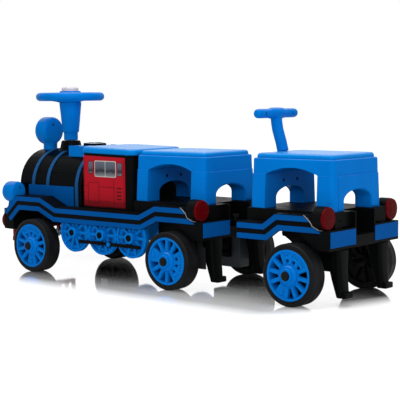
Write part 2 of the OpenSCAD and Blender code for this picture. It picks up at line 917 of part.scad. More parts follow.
// Stools
module stool_block(inset, top) {
    r = stool_corner_r - inset;
    hull() {
        linear_extrude(stool_slab)
            round_rect(stool_foot_l - 2 * inset, stool_foot_w - 2 * inset, r, $fn = hull_fn);
        translate([0, 0, top - stool_slab]) linear_extrude(stool_slab)
            round_rect(stool_top_l - 2 * inset, stool_top_w - 2 * inset, r, $fn = hull_fn);
    }
}
module stool_tunnels(grow) {
    chord = side_arch_l / 2;
    radius = (chord * chord + side_arch_rise * side_arch_rise) / (2 * side_arch_rise);
    across(-stool_foot_w, stool_foot_w) intersection() {
        union() {
            translate([-chord - grow, -2 * overrun])
                square([side_arch_l + 2 * grow, side_spring + 2 * overrun]);
            translate([0, side_spring + side_arch_rise - radius]) circle(r = radius + grow);
        }
        translate([-chord - grow, -2 * overrun])
            square([side_arch_l + 2 * grow, stool_h + 2 * overrun]);
    }
    along(-stool_foot_l, stool_foot_l) polygon(concat(
        [[end_arch_w / 2 + grow, -2 * overrun]],
        [for (i = [0 : arch_steps]) let (a = 180 * i / arch_steps)
            [(end_arch_w / 2 + grow) * cos(a), end_spring + (end_arch_rise + grow) * sin(a)]],
        [[-end_arch_w / 2 - grow, -2 * overrun]]));
}
module stool_seat() {
    difference() {
        stool_block(0, stool_h);
        difference() {
            translate([0, 0, -stool_slab]) stool_block(stool_wall, stool_h - stool_wall + stool_slab);
            stool_tunnels(stool_wall);
        }
        stool_tunnels(0);
    }
}
module stool_lid() {
    linear_extrude(stool_lid_t) round_rect(stool_top_l - 2 * stool_lid_inset,
        stool_top_w - 2 * stool_lid_inset, stool_corner_r - stool_lid_inset / 2);
}
module loco_stool() color(blue) translate([stool_x, 0, plinth_z]) stool_seat();
module loco_stool_lid() color(blue) translate([stool_x, 0, stool_z]) stool_lid();

// Trim of the locomotive
module loco_trim() color(dark_blue) {
    stripes(loco_line, x_rear, deck_z);
    rear_plates(x_rear, deck_z);
}
module loco_red_lenses() color(lens_red) {
    rear_lenses(x_rear, deck_z);
    both_sides() rod_x(front_pod_y, beam_z0 + front_pod_rise, pod_r,
        x_front + beam_reach, x_front + beam_reach + front_lens_t);
}
module side_wheel_panels() color(blue) both_sides() {
    face = half_w - wall;
    across(face - false_t, face - false_t + false_back_t) polygon([
        [x_front + false_wheels[0], false_web_z0],
        [x_front + false_wheels[0], false_web_z1 - wall],
        [x_front + false_wheels[2], false_web_z1 - wall],
        [x_front + false_wheels[2] - false_web_back, false_web_z1 - wall],
        [x_front + false_wheels[2], false_web_z0]]);
    for (place = false_wheels) {
        x = x_front + place;
        rod_y(x, false_z, false_r - false_rim_w, face - false_t, face - false_rim_t);
        difference() {
            rod_y(x, false_z, false_r, face - false_t, face);
            rod_y(x, false_z, false_r - false_rim_w, face - false_t - overrun, face + overrun);
        }
        rod_y(x, false_z, false_hub_r, face - false_t, face + false_hub_proud);
        rod_y(x - crank_back, rod_z0, rod_pin_r, face - false_t, face);
    }
    rod_y(x_front + false_wheels[1] - crank_back, rod_z0, rod_pin_r, face, face + rod_t + rod_pin_over);
}
module coupling_rods() color(black) both_sides() {
    face = half_w - wall;
    difference() {
        across(face, face + rod_t) {
            translate([x_front + false_wheels[2] - crank_back - rod_pin_r, rod_z0 - rod_h / 2])
                square([false_wheels[0] - false_wheels[2] + 2 * rod_pin_r, rod_h]);
            translate([x_front + false_wheels[1] - crank_back, rod_z0]) circle(r = rod_eye_r);
        }
        rod_y(x_front + false_wheels[1] - crank_back, rod_z0, rod_pin_r + rim_fit,
            face - overrun, face + rod_t + overrun);
    }
}
module pilot() color(red) {
    difference() {
        pilot_frame();
        front_pods(pod_r + rim_fit, front_lens_t + rim_fit);
    }
}
module pilot_frame() {
    top = beam_z0 - pilot_top_t;
    box(x_front + pilot_back, x_front + pilot_face, -pilot_w / 2, pilot_w / 2, top, beam_z0);
    translate([x_front, 0, pilot_z0]) linear_extrude(pilot_foot_t) polygon([
        [pilot_face - pilot_bar_t, -pilot_w / 2],
        [pilot_side, -pilot_w / 2],
        [pilot_foot, -pilot_nose_w / 2],
        [pilot_foot, pilot_nose_w / 2],
        [pilot_side, pilot_w / 2],
        [pilot_face - pilot_bar_t, pilot_w / 2]]);
    pitch = (pilot_w - pilot_bar_w) / (pilot_bars - 1);
    for (i = [0 : pilot_bars - 1]) {
        y = -pilot_w / 2 + i * pitch;
        across(y, y + pilot_bar_w) polygon([
            [x_front + pilot_face - pilot_bar_t, pilot_z0],
            [x_front + pilot_face, pilot_z0],
            [x_front + pilot_face, beam_z0],
            [x_front + pilot_face - pilot_bar_t, beam_z0]]);
    }
}
module loco_rear_legs() color(black) rear_legs(x_rear, deck_z);

// Steering
module steering_collar() color(black) {
    difference() {
        translate([x_column, 0, boiler_top_z - collar_sink])
            cylinder(r1 = collar_low_r, r2 = collar_top_r, h = collar_top_z - boiler_top_z + collar_sink);
        boiler_solid();
        rod_z(x_column, 0, shaft_r + side_gap, boiler_axis_z, collar_top_z + overrun);
    }
}
module steering_column() color(blue) {
    z0 = collar_top_z + side_gap;
    translate([x_column, 0, 0]) rotate_extrude() polygon([
        [shaft_r + run_fit, z0],
        [neck_r, z0],
        [neck_r, z0 + neck_h],
        [sleeve_low_r, z0 + neck_h + sleeve_lip],
        [sleeve_top_r, steer_hub_z],
        [shaft_r + run_fit, steer_hub_z]]);
}
module steering_wheel() color(blue) {
    ring_r = (steer_d - steer_ring_d) / 2;
    hub_top = steer_z + steer_hub_top;
    translate([x_column, 0, 0]) difference() {
        union() {
            translate([0, 0, steer_z]) rotate_extrude() translate([ring_r, 0]) circle(r = steer_ring_d / 2);
            rod_z(0, 0, steer_hub_r, steer_hub_z, hub_top);
            for (i = [0 : steer_spokes - 1]) rotate(180 + 360 * i / steer_spokes)
                rod_x(0, steer_z - steer_spoke_drop, steer_spoke_r, 0, ring_r);
        }
        rod_z(0, 0, horn_d / 2 + horn_fit, hub_top - horn_pocket, hub_top + overrun);
        rod_z(0, 0, shaft_r + run_fit, steer_hub_z - overrun, steer_hub_z + shaft_in_hub);
    }
}
module horn_cap() color(steel) {
    z0 = steer_z + steer_hub_top - horn_pocket + horn_travel + horn_gap;
    translate([x_column, 0, z0]) rotate_extrude() polygon([
        [0, 0],
        [horn_d / 2, 0],
        [horn_d / 2, horn_h - horn_edge],
        [horn_d / 2 - horn_edge, horn_h],
        [0, horn_h]]);
}
module steering_shaft() color(steel) {
    rod_z(x_column, 0, shaft_r, crank_z, steer_hub_z + shaft_in_hub);
    across(-arm_w / 2, arm_w / 2) translate([x_column - steer_arm, crank_z]) square([steer_arm, crank_t]);
    for (x = [x_column, x_column - steer_arm]) rod_z(x, 0, arm_w / 2, crank_z, crank_z + crank_t);
    rod_z(x_column - steer_arm, 0, arm_pin_r, tie_z - pin_over / 3, crank_z + crank_t);
}
module knuckle() {
    rod_z(x_front, kingpin_y, kingpin_r, knuckle_z0, boss_z + boss_bore - side_gap);
    box(x_front - knuckle_l / 2, x_front + knuckle_l / 2, kingpin_y - knuckle_w / 2,
        kingpin_y + knuckle_w / 2 - side_gap, knuckle_z0, boss_z - side_gap);
    rod_y(x_front, axle_z, axle_r, kingpin_y, axle_tip_y);
    box(x_front - steer_arm, x_front, kingpin_y - arm_w / 2, kingpin_y + arm_w / 2, arm_z, arm_z + arm_t);
    rod_z(x_front - steer_arm, kingpin_y, arm_w / 2, arm_z, arm_z + arm_t);
    rod_z(x_front - steer_arm, kingpin_y, arm_pin_r, arm_z, tie_z + tie_t + pin_over);
}
module left_knuckle() color(steel) knuckle();
module right_knuckle() color(steel) mirror([0, 1, 0]) knuckle();
module tie_rod() color(steel) {
    x = x_front - steer_arm;
    crank_x = x_column - steer_arm;
    difference() {
        translate([0, 0, tie_z]) linear_extrude(tie_t) {
            translate([x - tie_w / 2, -kingpin_y]) square([tie_w, 2 * kingpin_y]);
            for (y = [-kingpin_y, kingpin_y]) translate([x, y]) circle(r = tie_eye_r);
            translate([x, -tie_w / 2]) square([crank_x - x, tie_w]);
            translate([crank_x, 0]) circle(r = tie_eye_r);
        }
        rod_z(x, kingpin_y, arm_pin_r + run_fit, tie_z - overrun, tie_z + tie_t + overrun);
        rod_z(x, -kingpin_y, arm_pin_r + open_fit, tie_z - overrun, tie_z + tie_t + overrun);
        rod_z(crank_x, 0, arm_pin_r + open_fit, tie_z - overrun, tie_z + tie_t + overrun);
    }
}

// Wheels: the axis is local z, 0 at the tyre's inner face and growing outwards
module place_wheel(x, side) {
    mirror([0, side < 0 ? 1 : 0, 0]) translate([x, tyre_in_y, axle_z]) rotate([-90, 0, 0]) children();
}
module tyre() {
    rotate_extrude() polygon([
        [axle_r + run_fit, -hub_boss],
        [hub_d / 2, -hub_boss],
        [hub_d / 2, hub_web_z0],
        [back_rim_r, hub_web_z0],
        [back_rim_r, 0],
        [tyre_r - tyre_shoulder, 0],
        [tyre_r, tyre_shoulder],
        [tyre_r, tyre_w - tyre_shoulder],
        [tyre_r - tyre_shoulder, tyre_w],
        [rim_seat_r + rim_fit, tyre_w],
        [rim_seat_r + rim_fit, hub_web_z1],
        [hub_d / 2, hub_web_z1],
        [hub_d / 2, hub_seat],
        [hub_end_d / 2, hub_seat],
        [hub_end_d / 2, tyre_w + hub_proud],
        [0, tyre_w + hub_proud],
        [0, bore_end],
        [axle_r + run_fit, bore_end]]);
}
// A window between two spokes: its sides run along the spokes, its end follows the ring
function window_half(r) = 180 / spoke_count - asin(spoke_w / 2 / r);
function rim_window(outer) = concat(
    [for (side = [-1, 1]) window_root_r * [
        cos(side * window_half(window_root_r)), sin(side * window_half(window_root_r))]],
    [for (i = [0 : window_steps]) let (a = window_half(outer) * (1 - 2 * i / window_steps))
        outer * [cos(a), sin(a)]]);
module rim() {
    ring_in = rim_seat_r - rim_ring_w;
    hub_in = hub_end_d / 2 + rim_fit;
    rotate_extrude() {
        translate([ring_in, hub_web_z1]) square([rim_ring_w, tyre_w - hub_web_z1]);
        polygon([
            [hub_in, hub_seat],
            [rim_hub_d / 2, hub_seat],
            [rim_hub_d / 2, tyre_w],
            [rim_hub_d / 2 - rim_hub_step, tyre_w + rim_hub_lift],
            [rim_hub_d / 2 - 2 * rim_hub_step, tyre_w + rim_hub_lift],
            [rim_hub_d / 2 - 2 * rim_hub_step, tyre_w + 2 * rim_hub_lift],
            [hub_in, tyre_w + 2 * rim_hub_lift]]);
    }
    translate([0, 0, tyre_w - rim_face_recess - spoke_t]) linear_extrude(spoke_t) difference() {
        circle(r = ring_in + rim_fit);
        circle(r = hub_d / 2 + rim_fit);
        for (i = [0 : spoke_count - 1]) {
            far = min(i, spoke_count - i);
            outer = far <= weight_windows ? ring_in - weight_depth : ring_in + overrun;
            if (far < spoke_count / 2) rotate(90 + 360 * i / spoke_count) polygon(rim_window(outer));
        }
    }
}
module wheel_tyre(x, side) color(tyre_black) place_wheel(x, side) tyre();
module wheel_rim(x, side, turn) color(blue) place_wheel(x, side) rotate(turn) rim();
module front_left_tyre() wheel_tyre(x_front, 1);
module front_right_tyre() wheel_tyre(x_front, -1);
module rear_left_tyre() wheel_tyre(x_rear, 1);
module rear_right_tyre() wheel_tyre(x_rear, -1);
module carriage_left_tyre() wheel_tyre(x_car, 1);
module carriage_right_tyre() wheel_tyre(x_car, -1);
module front_left_rim() wheel_rim(x_front, 1, front_turn);
module front_right_rim() wheel_rim(x_front, -1, front_turn);
module rear_left_rim() wheel_rim(x_rear, 1, rear_turn);
module rear_right_rim() wheel_rim(x_rear, -1, rear_turn);
module carriage_left_rim() wheel_rim(x_car, 1, carriage_turn);
module carriage_right_rim() wheel_rim(x_car, -1, carriage_turn);

// Drive
function involute(base, a) = base * [cos(a) + a * PI / 180 * sin(a), sin(a) - a * PI / 180 * cos(a)];
function roll_at(base, r) = sqrt(max(r * r / (base * base) - 1, 0)) * 180 / PI;
function turned(p, a) = [p.x * cos(a) - p.y * sin(a), p.x * sin(a) + p.y * cos(a)];
function tooth_flank(teeth) = let (
    pitch = gear_module * teeth / 2,
    base = pitch * cos(pressure_angle),
    start = roll_at(base, max(base, pitch - dedendum)),
    end = roll_at(base, pitch + addendum),
    at_pitch = involute(base, roll_at(base, pitch)),
    half = 90 / teeth - backlash / 2 / pitch * 180 / PI,
    turn = -half - atan2(at_pitch.y, at_pitch.x))
    [for (i = [0 : flank_steps]) turned(involute(base, start + (end - start) * i / flank_steps), turn)];
function gear_outline(teeth) = let (
    flank = tooth_flank(teeth),
    root = gear_module * teeth / 2 - dedendum,
    foot = unit(flank[0]) * root)
    [for (t = [0 : teeth - 1], p = concat(
        [foot], flank, reversed([for (q = flank) [q.x, -q.y]]), [[foot.x, -foot.y]]))
        turned(p, 360 * t / teeth)];
module gear_at(x, z, y0, y1, teeth, turn) {
    translate([x, -y0, z]) rotate([90, 0, 0]) rotate(turn)
        linear_extrude(y1 - y0) polygon(gear_outline(teeth));
}
module drive_gear() color(clear) {
    difference() {
        union() {
            gear_at(x_rear, axle_z, gear_y, gear_y + gear_w, gear_teeth, motor_angle);
            rod_y(x_rear, axle_z, gear_sleeve_r, -tyre_in_y + hub_boss, -gear_y);
        }
        rod_y(x_rear, axle_z, axle_r + run_fit, -track, 0);
    }
}
module motor_pinion() color(steel) {
    half_tooth = pinion_teeth % 2 == 0 ? 180 / pinion_teeth : 0;
    gear_at(motor_x, motor_z, gear_y - side_gap, gear_y + gear_w + side_gap, pinion_teeth,
        motor_angle + half_tooth);
    rod_y(motor_x, motor_z, motor_shaft_r, -gear_y, -bracket_y);
}
module box_outline(grow) {
    room = box_room + addendum + grow;
    x0 = x_rear - gear_r - room;
    x1 = motor_x + pinion_r + room;
    z0 = axle_z - gear_r - room;
    z1 = max(motor_z + pinion_r, axle_z + gear_r) + room;
    translate([x0, z0]) square([x1 - x0, z1 - z0]);
}
module gearbox_housing() color(grey) {
    difference() {
        across(-box_y0 - box_depth, -box_y0) box_outline(box_wall);
        across(-box_y0 - box_depth - overrun, -box_y0 - box_wall) box_outline(0);
        rod_y(x_rear, axle_z, axle_r + open_fit, -track, 0);
        rod_y(motor_x, motor_z, motor_shaft_hole, -track, 0);
    }
}
module gearbox_cover() color(grey) {
    difference() {
        across(-box_y0 - box_depth - cover_t, -box_y0 - box_depth) box_outline(box_wall);
        rod_y(x_rear, axle_z, gear_sleeve_r + side_gap, -track, 0);
    }
}
module motor() color(steel) {
    difference() {
        union() {
            rod_y(motor_x, motor_z, motor_d / 2, -box_y0, -box_y0 + motor_l);
            rod_y(motor_x, motor_z, motor_boss_r, -box_y0 + motor_l, -box_y0 + motor_l + motor_boss_h);
        }
        rod_y(motor_x, motor_z, motor_shaft_r + run_fit, -track, -bracket_y + side_gap);
    }
}
module axle_rod(x) {
    rod_y(x, axle_z, axle_r, -axle_tip_y, axle_tip_y);
}
module rear_axle() color(steel) axle_rod(x_rear);

// Carriage
module carriage_chassis() color(black) {
    difference() {
        union() {
            difference() {
                chassis_shell(car_line, x_car, car_deck_z, car_plinth_front_x);
                plinth_room(x_car, car_deck_z, car_plinth_front_x);
            }
            chassis_inner(x_car, car_deck_z);
            box(car_plinth_front_x - wall, car_plinth_front_x, -half_w, half_w,
                car_deck_z - skirt_h, car_deck_z - wall / 2);
        }
        chassis_cuts(x_car, car_deck_z);
    }
}
module carriage_stool() color(blue) translate([car_stool_x, 0, car_plinth_z]) stool_seat();
module carriage_stool_lid() color(blue) translate([car_stool_x, 0, car_stool_z]) stool_lid();
module carriage_trim() color(dark_blue) {
    stripes(car_line, x_car, car_deck_z);
    rear_plates(x_car, car_deck_z);
}
module carriage_red_lenses() color(lens_red) rear_lenses(x_car, car_deck_z);
module carriage_axle() color(steel) axle_rod(x_car);
module carriage_rear_legs() color(black) rear_legs(x_car, car_deck_z);
module drawbar() color(black) {
    difference() {
        union() {
            box(car_plinth_front_x, hitch_x, -drawbar_w / 2, drawbar_w / 2,
                drawbar_z, drawbar_z + drawbar_t);
            rod_z(hitch_x, 0, drawbar_w / 2, drawbar_z, drawbar_z + drawbar_t);
        }
        rod_z(hitch_x, 0, hitch_pin_d / 2 + run_fit, drawbar_z - overrun, drawbar_z + drawbar_t + overrun);
    }
}
module hitch_pin() color(steel) {
    head_z = drawbar_z + drawbar_t + pin_head_gap;
    rod_z(hitch_x, 0, hitch_pin_d / 2, shelf_z - shelf_t, head_z);
    rod_z(hitch_x, 0, pin_head_r, head_z, head_z + pin_head_t);
}
module t_handle() color(blue) {
    base_z = car_stool_z + stool_lid_t;
    bar_z = base_z + handle_rise;
    foot_x = handle_x - handle_lean;
    bend = [foot_x + handle_bow_share * handle_lean + handle_bow, 0,
        base_z + handle_bow_share * handle_rise];
    hull() {
        rod_z(foot_x, 0, handle_post_r, base_z, base_z + handle_base_t);
        translate(bend) sphere(r = handle_post_r, $fn = hull_fn);
    }
    hull() {
        translate(bend) sphere(r = handle_post_r, $fn = hull_fn);
        translate([handle_x, 0, bar_z]) sphere(r = handle_post_r, $fn = hull_fn);
    }
    rod_y(handle_x, bar_z, handle_d / 2, -handle_w / 2, handle_w / 2);
    rod_y(handle_x, bar_z, handle_crown_r, -handle_crown_w / 2, handle_crown_w / 2);
}

loco_chassis();
boiler_shell();
smokebox_door();
boiler_bands();
boiler_side_panels();
top_lamp_housing();
front_lamp_housings();
lamp_lenses();
steering_collar();
dash_block();
control_panel();
cab_body();
cab_side_panels();
seat_hinge_pin();
battery();
loco_stool();
loco_stool_lid();
side_wheel_panels();
coupling_rods();
loco_trim();
loco_red_lenses();
pilot();
rear_axle();
gearbox_housing();
gearbox_cover();
motor();
loco_rear_legs();
hitch_pin();
steering_wheel();
steering_column();
steering_shaft();
horn_cap();
seat_lid();
foot_pedal();
left_knuckle();
right_knuckle();
tie_rod();
front_left_tyre();
front_left_rim();
front_right_tyre();
front_right_rim();
rear_left_tyre();
rear_left_rim();
rear_right_tyre();
rear_right_rim();
carriage_left_tyre();
carriage_left_rim();
carriage_right_tyre();
carriage_right_rim();
drive_gear();
motor_pinion();
carriage_chassis();
carriage_stool();
carriage_stool_lid();
carriage_trim();
carriage_red_lenses();
t_handle();
drawbar();
carriage_axle();
carriage_rear_legs();
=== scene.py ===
"""Ride-on train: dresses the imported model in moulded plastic, printed panels and rubber."""

from math import asin, atan2, cos, degrees, hypot, pi, radians, sin

import bmesh
import bpy
from mathutils import Matrix, Quaternion, Vector


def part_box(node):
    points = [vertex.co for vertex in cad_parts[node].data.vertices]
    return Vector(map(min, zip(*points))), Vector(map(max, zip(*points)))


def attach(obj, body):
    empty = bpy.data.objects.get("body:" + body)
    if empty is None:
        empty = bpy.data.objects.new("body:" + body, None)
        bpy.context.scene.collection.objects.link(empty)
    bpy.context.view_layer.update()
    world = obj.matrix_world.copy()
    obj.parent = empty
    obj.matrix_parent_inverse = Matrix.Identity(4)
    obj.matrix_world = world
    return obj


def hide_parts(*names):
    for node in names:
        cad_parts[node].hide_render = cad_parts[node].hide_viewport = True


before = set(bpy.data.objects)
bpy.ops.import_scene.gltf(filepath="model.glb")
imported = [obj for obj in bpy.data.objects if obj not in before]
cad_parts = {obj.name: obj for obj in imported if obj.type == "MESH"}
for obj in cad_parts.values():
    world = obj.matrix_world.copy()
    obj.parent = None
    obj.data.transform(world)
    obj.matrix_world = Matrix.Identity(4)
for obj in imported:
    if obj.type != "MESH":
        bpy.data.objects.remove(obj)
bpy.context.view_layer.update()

# Places and sizes in millimetres, the same as in the solids
MM = 0.001
X_FRONT, X_REAR, X_CAR, X_COLUMN = 421, -95, -477, 442
AXLE_Z = 75
TYRE_IN_Y = 137
HALF_W = 153
DECK_Z, CAR_DECK_Z = 185, 189
SIDES = (1, -1)
# Axle, side and angle of the rim's counterweight
WHEELS = {
    "front_left": (X_FRONT, 1, -270), "front_right": (X_FRONT, -1, -270),
    "rear_left": (X_REAR, 1, -164), "rear_right": (X_REAR, -1, -164),
    "carriage_left": (X_CAR, 1, -246), "carriage_right": (X_CAR, -1, -246),
}
SPOKES, WEIGHT_SPOKES = 12, (5, 6)
SPOKE_FACE, RIM_FACE = 44, 47
WEIGHT_SWEEP, WEIGHT_DOTS = 88, 11


# Materials
def add_node(tree, kind, inputs=None, **settings):
    made = tree.nodes.new("ShaderNode" + kind)
    for key, value in settings.items():
        setattr(made, key, value)
    for key, value in (inputs or {}).items():
        if isinstance(value, bpy.types.NodeSocket):
            tree.links.new(value, made.inputs[key])
        else:
            made.inputs[key].default_value = value
    return made


def maths(tree, operation, *values):
    """One step of arithmetic in a material."""
    return add_node(tree, "Math", dict(enumerate(values)), operation=operation).outputs[0]


def map_range(tree, value, low, high, start=0.0, end=1.0):
    """Maps low to high onto start to end, and stays there beyond them."""
    return add_node(tree, "MapRange", {
        "Value": value, "From Min": low, "From Max": high, "To Min": start, "To Max": end}).outputs[0]


def split(tree, vector, axis):
    return add_node(tree, "SeparateXYZ", {"Vector": vector}).outputs[axis]


def linear(srgb):
    shares = (value / 255 for value in srgb)
    return [c / 12.92 if c <= 0.04045 else ((c + 0.055) / 1.055) ** 2.4 for c in shares]


def shade(srgb, factor=1.0):
    return [min(c * factor, 1.0) for c in linear(srgb)] + [1.0]


def grey(value):
    return (value, value, value, 1.0)


def ramp(tree, factor, stops):
    made = add_node(tree, "ValToRGB", {"Fac": factor})
    band = made.color_ramp
    while len(band.elements) < len(stops):
        band.elements.new(0.5)
    for element, (place, colour) in zip(band.elements, stops):
        element.position = place
        element.color = colour
    return made.outputs["Color"]


def grey_ramp(tree, factor, *stops):
    return ramp(tree, factor, [(place, grey(value)) for place, value in stops])


def blank(name):
    """A new material, its tree, its shader and the place of a point on the object."""
    material = bpy.data.materials.new(name)
    material.use_nodes = True
    tree = material.node_tree
    place = add_node(tree, "TexCoord").outputs["Object"]
    return material, tree, tree.nodes["Principled BSDF"], place


def noise(tree, place, scale, detail):
    made = add_node(tree, "TexNoise", {"Vector": place, "Scale": scale, "Detail": detail})
    return made.outputs["Fac"]


def mottle(tree, place, scale, detail, colour, dark, pale, stops=(0.3, 0.7)):
    """A colour that clouds between a darker and a paler tone."""
    return ramp(tree, noise(tree, place, scale, detail),
                [(stops[0], shade(colour, dark)), (stops[1], shade(colour, pale))])


def stretched(tree, place, scale):
    return add_node(tree, "Mapping", {"Vector": place, "Scale": scale}).outputs["Vector"]


def bump(tree, shader, height, strength, distance):
    made = add_node(tree, "Bump", {
        "Height": height, "Strength": strength, "Distance": distance * MM})
    tree.links.new(made.outputs["Normal"], shader.inputs["Normal"])


def surface(tree, shader, tint, cloud, rough, specular=0.5, stops=(0.3, 0.7)):
    """Sets the colour, the specular level, and a roughness that a cloud varies between two values."""
    tree.links.new(tint, shader.inputs["Base Color"])
    shader.inputs["Specular IOR Level"].default_value = specular
    gloss = grey_ramp(tree, cloud, (stops[0], rough[0]), (stops[1], rough[1]))
    tree.links.new(gloss, shader.inputs["Roughness"])


def upward(tree):
    """How far a face looks up: 1 for a level top, 0 for an upright side."""
    return split(tree, add_node(tree, "NewGeometry").outputs["Normal"], "Z")


def shine_upward(tree, shader, *stops):
    """Gloss that grows as a face turns up."""
    tree.links.new(grey_ramp(tree, upward(tree), *stops), shader.inputs["Specular IOR Level"])


def plastic(name, colour, rough=(0.28, 0.4), specular=0.35, grain=1500, depth=0.04, spread=0.06,
            top_shine=None):
    """Moulded plastic: cloudy tint, uneven gloss, a fine tool grain and, if asked, glossier tops."""
    material, tree, shader, place = blank(name)
    tint = mottle(tree, place, 11, 3, colour, 1 - spread, 1 + spread)
    surface(tree, shader, tint, noise(tree, place, 37, 4), rough, specular, (0.35, 0.7))
    if top_shine:
        shine_upward(tree, shader, (0.62, specular), (0.96, top_shine))
    bump(tree, shader, noise(tree, place, grain, 2), 0.35, depth)
    return material


def embossed(name, colour, pale):
    """Seat plastic with a wavy emboss on its upper faces, whose ridges carry a pale painted highlight."""
    material, tree, shader, place = blank(name)
    wander = add_node(tree, "TexNoise", {"Vector": place, "Scale": 22.0, "Detail": 2.0})
    bent = add_node(tree, "VectorMath", {0: wander.outputs["Color"], "Scale": 0.05},
                    operation="SCALE")
    moved = add_node(tree, "VectorMath", {0: place, 1: bent.outputs[0]}, operation="ADD")
    cells = add_node(tree, "TexVoronoi", {"Vector": moved.outputs[0], "Scale": 52.0},
                     feature="DISTANCE_TO_EDGE")
    ridge = grey_ramp(tree, cells.outputs["Distance"], (0.02, 1.0), (0.2, 0.0))
    top = grey_ramp(tree, upward(tree), (0.9, 0.0), (0.99, 1.0))
    relief = maths(tree, "MULTIPLY", ridge, top)
    base = mottle(tree, place, 14, 3, colour, 0.94, 1.06)
    # Painted highlight: the pale tone on the ridges of faces that look up stands for light on the tops
    tint = add_node(tree, "Mix", {"Factor": relief, "A": base, "B": shade(pale)}, data_type="RGBA")
    cloud = noise(tree, place, 300, 3)
    surface(tree, shader, tint.outputs["Result"], cloud, (0.26, 0.4), stops=(0.35, 0.7))
    shine_upward(tree, shader, (0.55, 0.03), (0.97, 0.95))
    bump(tree, shader, relief, 0.2, 0.5)
    return material


def rubber(name, colour, dust):
    """Tyre plastic: dusty tint, matt shoulder and fine turning marks round the axle."""
    material, tree, shader, place = blank(name)
    tint = ramp(tree, noise(tree, place, 23, 5), [(0.35, shade(colour, 0.8)), (0.75, shade(dust))])
    surface(tree, shader, tint, noise(tree, place, 60, 4), (0.42, 0.62), 0.1, (0.3, 0.75))
    turned = noise(tree, stretched(tree, place, (20.0, 1500.0, 20.0)), 1.0, 2)
    bump(tree, shader, maths(tree, "ADD", turned, noise(tree, place, 900, 3)), 0.4, 0.12)
    return material


def height_tint(tree, place, levels, ripple, stops):
    """Colours by height between two levels, made uneven by a ripple."""
    share = map_range(tree, split(tree, place, "Z"), levels[0] * MM, levels[1] * MM)
    return ramp(tree, maths(tree, "ADD", share, ripple), [(at, shade(tone)) for at, tone in stops])


def printed_red(name, levels):
    """Red printed panel that darkens towards its foot."""
    material, tree, shader, place = blank(name)
    ripple = maths(tree, "MULTIPLY", noise(tree, place, 30, 4), 0.05)
    tint = height_tint(tree, place, levels, ripple, (
        (0.055, (24, 6, 8)), (0.08, (128, 14, 25)), (0.17, (136, 15, 27)),
        (0.185, (170, 19, 33)), (0.42, (178, 20, 36)), (1.0, (174, 21, 37))))
    surface(tree, shader, tint, noise(tree, place, 50, 3), (0.3, 0.42), 0.05)
    bump(tree, shader, noise(tree, place, 700, 3), 0.3, 0.05)
    return material


def printed_glass(name, levels):
    """Printed window: pale at the sill, a dark band, paler again towards the top."""
    material, tree, shader, place = blank(name)
    streak = noise(tree, place, 55, 4)
    tint = height_tint(tree, place, levels, maths(tree, "MULTIPLY", streak, 0.16), (
        (0.1, (150, 154, 160)), (0.34, (104, 110, 118)), (0.48, (40, 43, 50)),
        (0.54, (52, 56, 65)), (0.66, (80, 87, 99)), (1.0, (98, 106, 120))))
    surface(tree, shader, tint, streak, (0.16, 0.26), 0.15)
    bump(tree, shader, streak, 0.1, 0.1)
    return material


def lamp_red(name, colour):
    """Deep red reflector with prism cells."""
    material, tree, shader, place = blank(name)
    cells = add_node(tree, "TexVoronoi", {"Vector": place, "Scale": 260.0, "Randomness": 0.15})
    depth = cells.outputs["Distance"]
    tint = ramp(tree, depth, [(0.1, shade(colour, 1.35)), (0.6, shade(colour, 0.7))])
    surface(tree, shader, tint, noise(tree, place, 80, 3), (0.2, 0.32), 0.03)
    bump(tree, shader, depth, 0.25, 0.4)
    return material


def clear_lens(name, groove_shade_tone, crest_highlight_tone):
    """Pressed lamp glass: pale, ribbed, cool tint; painted shade in the grooves, painted highlight on the
    crests.
    """
    material, tree, shader, place = blank(name)
    ribs = add_node(tree, "TexWave", {"Vector": place, "Scale": 90.0, "Distortion": 0.0},
                    bands_direction="Y").outputs["Fac"]
    # Painted shade in the rib grooves and painted highlight on the rib crests
    tint = ramp(tree, ribs, [(0.2, shade(groove_shade_tone)), (0.8, shade(crest_highlight_tone))])
    surface(tree, shader, tint, noise(tree, place, 60, 3), (0.08, 0.18))
    shader.inputs["Transmission Weight"].default_value = 0.35
    shader.inputs["IOR"].default_value = 1.49
    bump(tree, shader, ribs, 0.5, 0.6)
    return material


def metal(name, colour, rough=(0.22, 0.4)):
    """Drawn or plated metal with fine scratches along one axis."""
    material, tree, shader, place = blank(name)
    scratch = noise(tree, stretched(tree, place, (40.0, 40.0, 1600.0)), 9, 4)
    tint = ramp(tree, scratch, [(0.3, shade(colour, 0.85)), (0.7, shade(colour, 1.05))])
    surface(tree, shader, tint, scratch, rough)
    shader.inputs["Metallic"].default_value = 1.0
    bump(tree, shader, scratch, 0.2, 0.05)
    return material


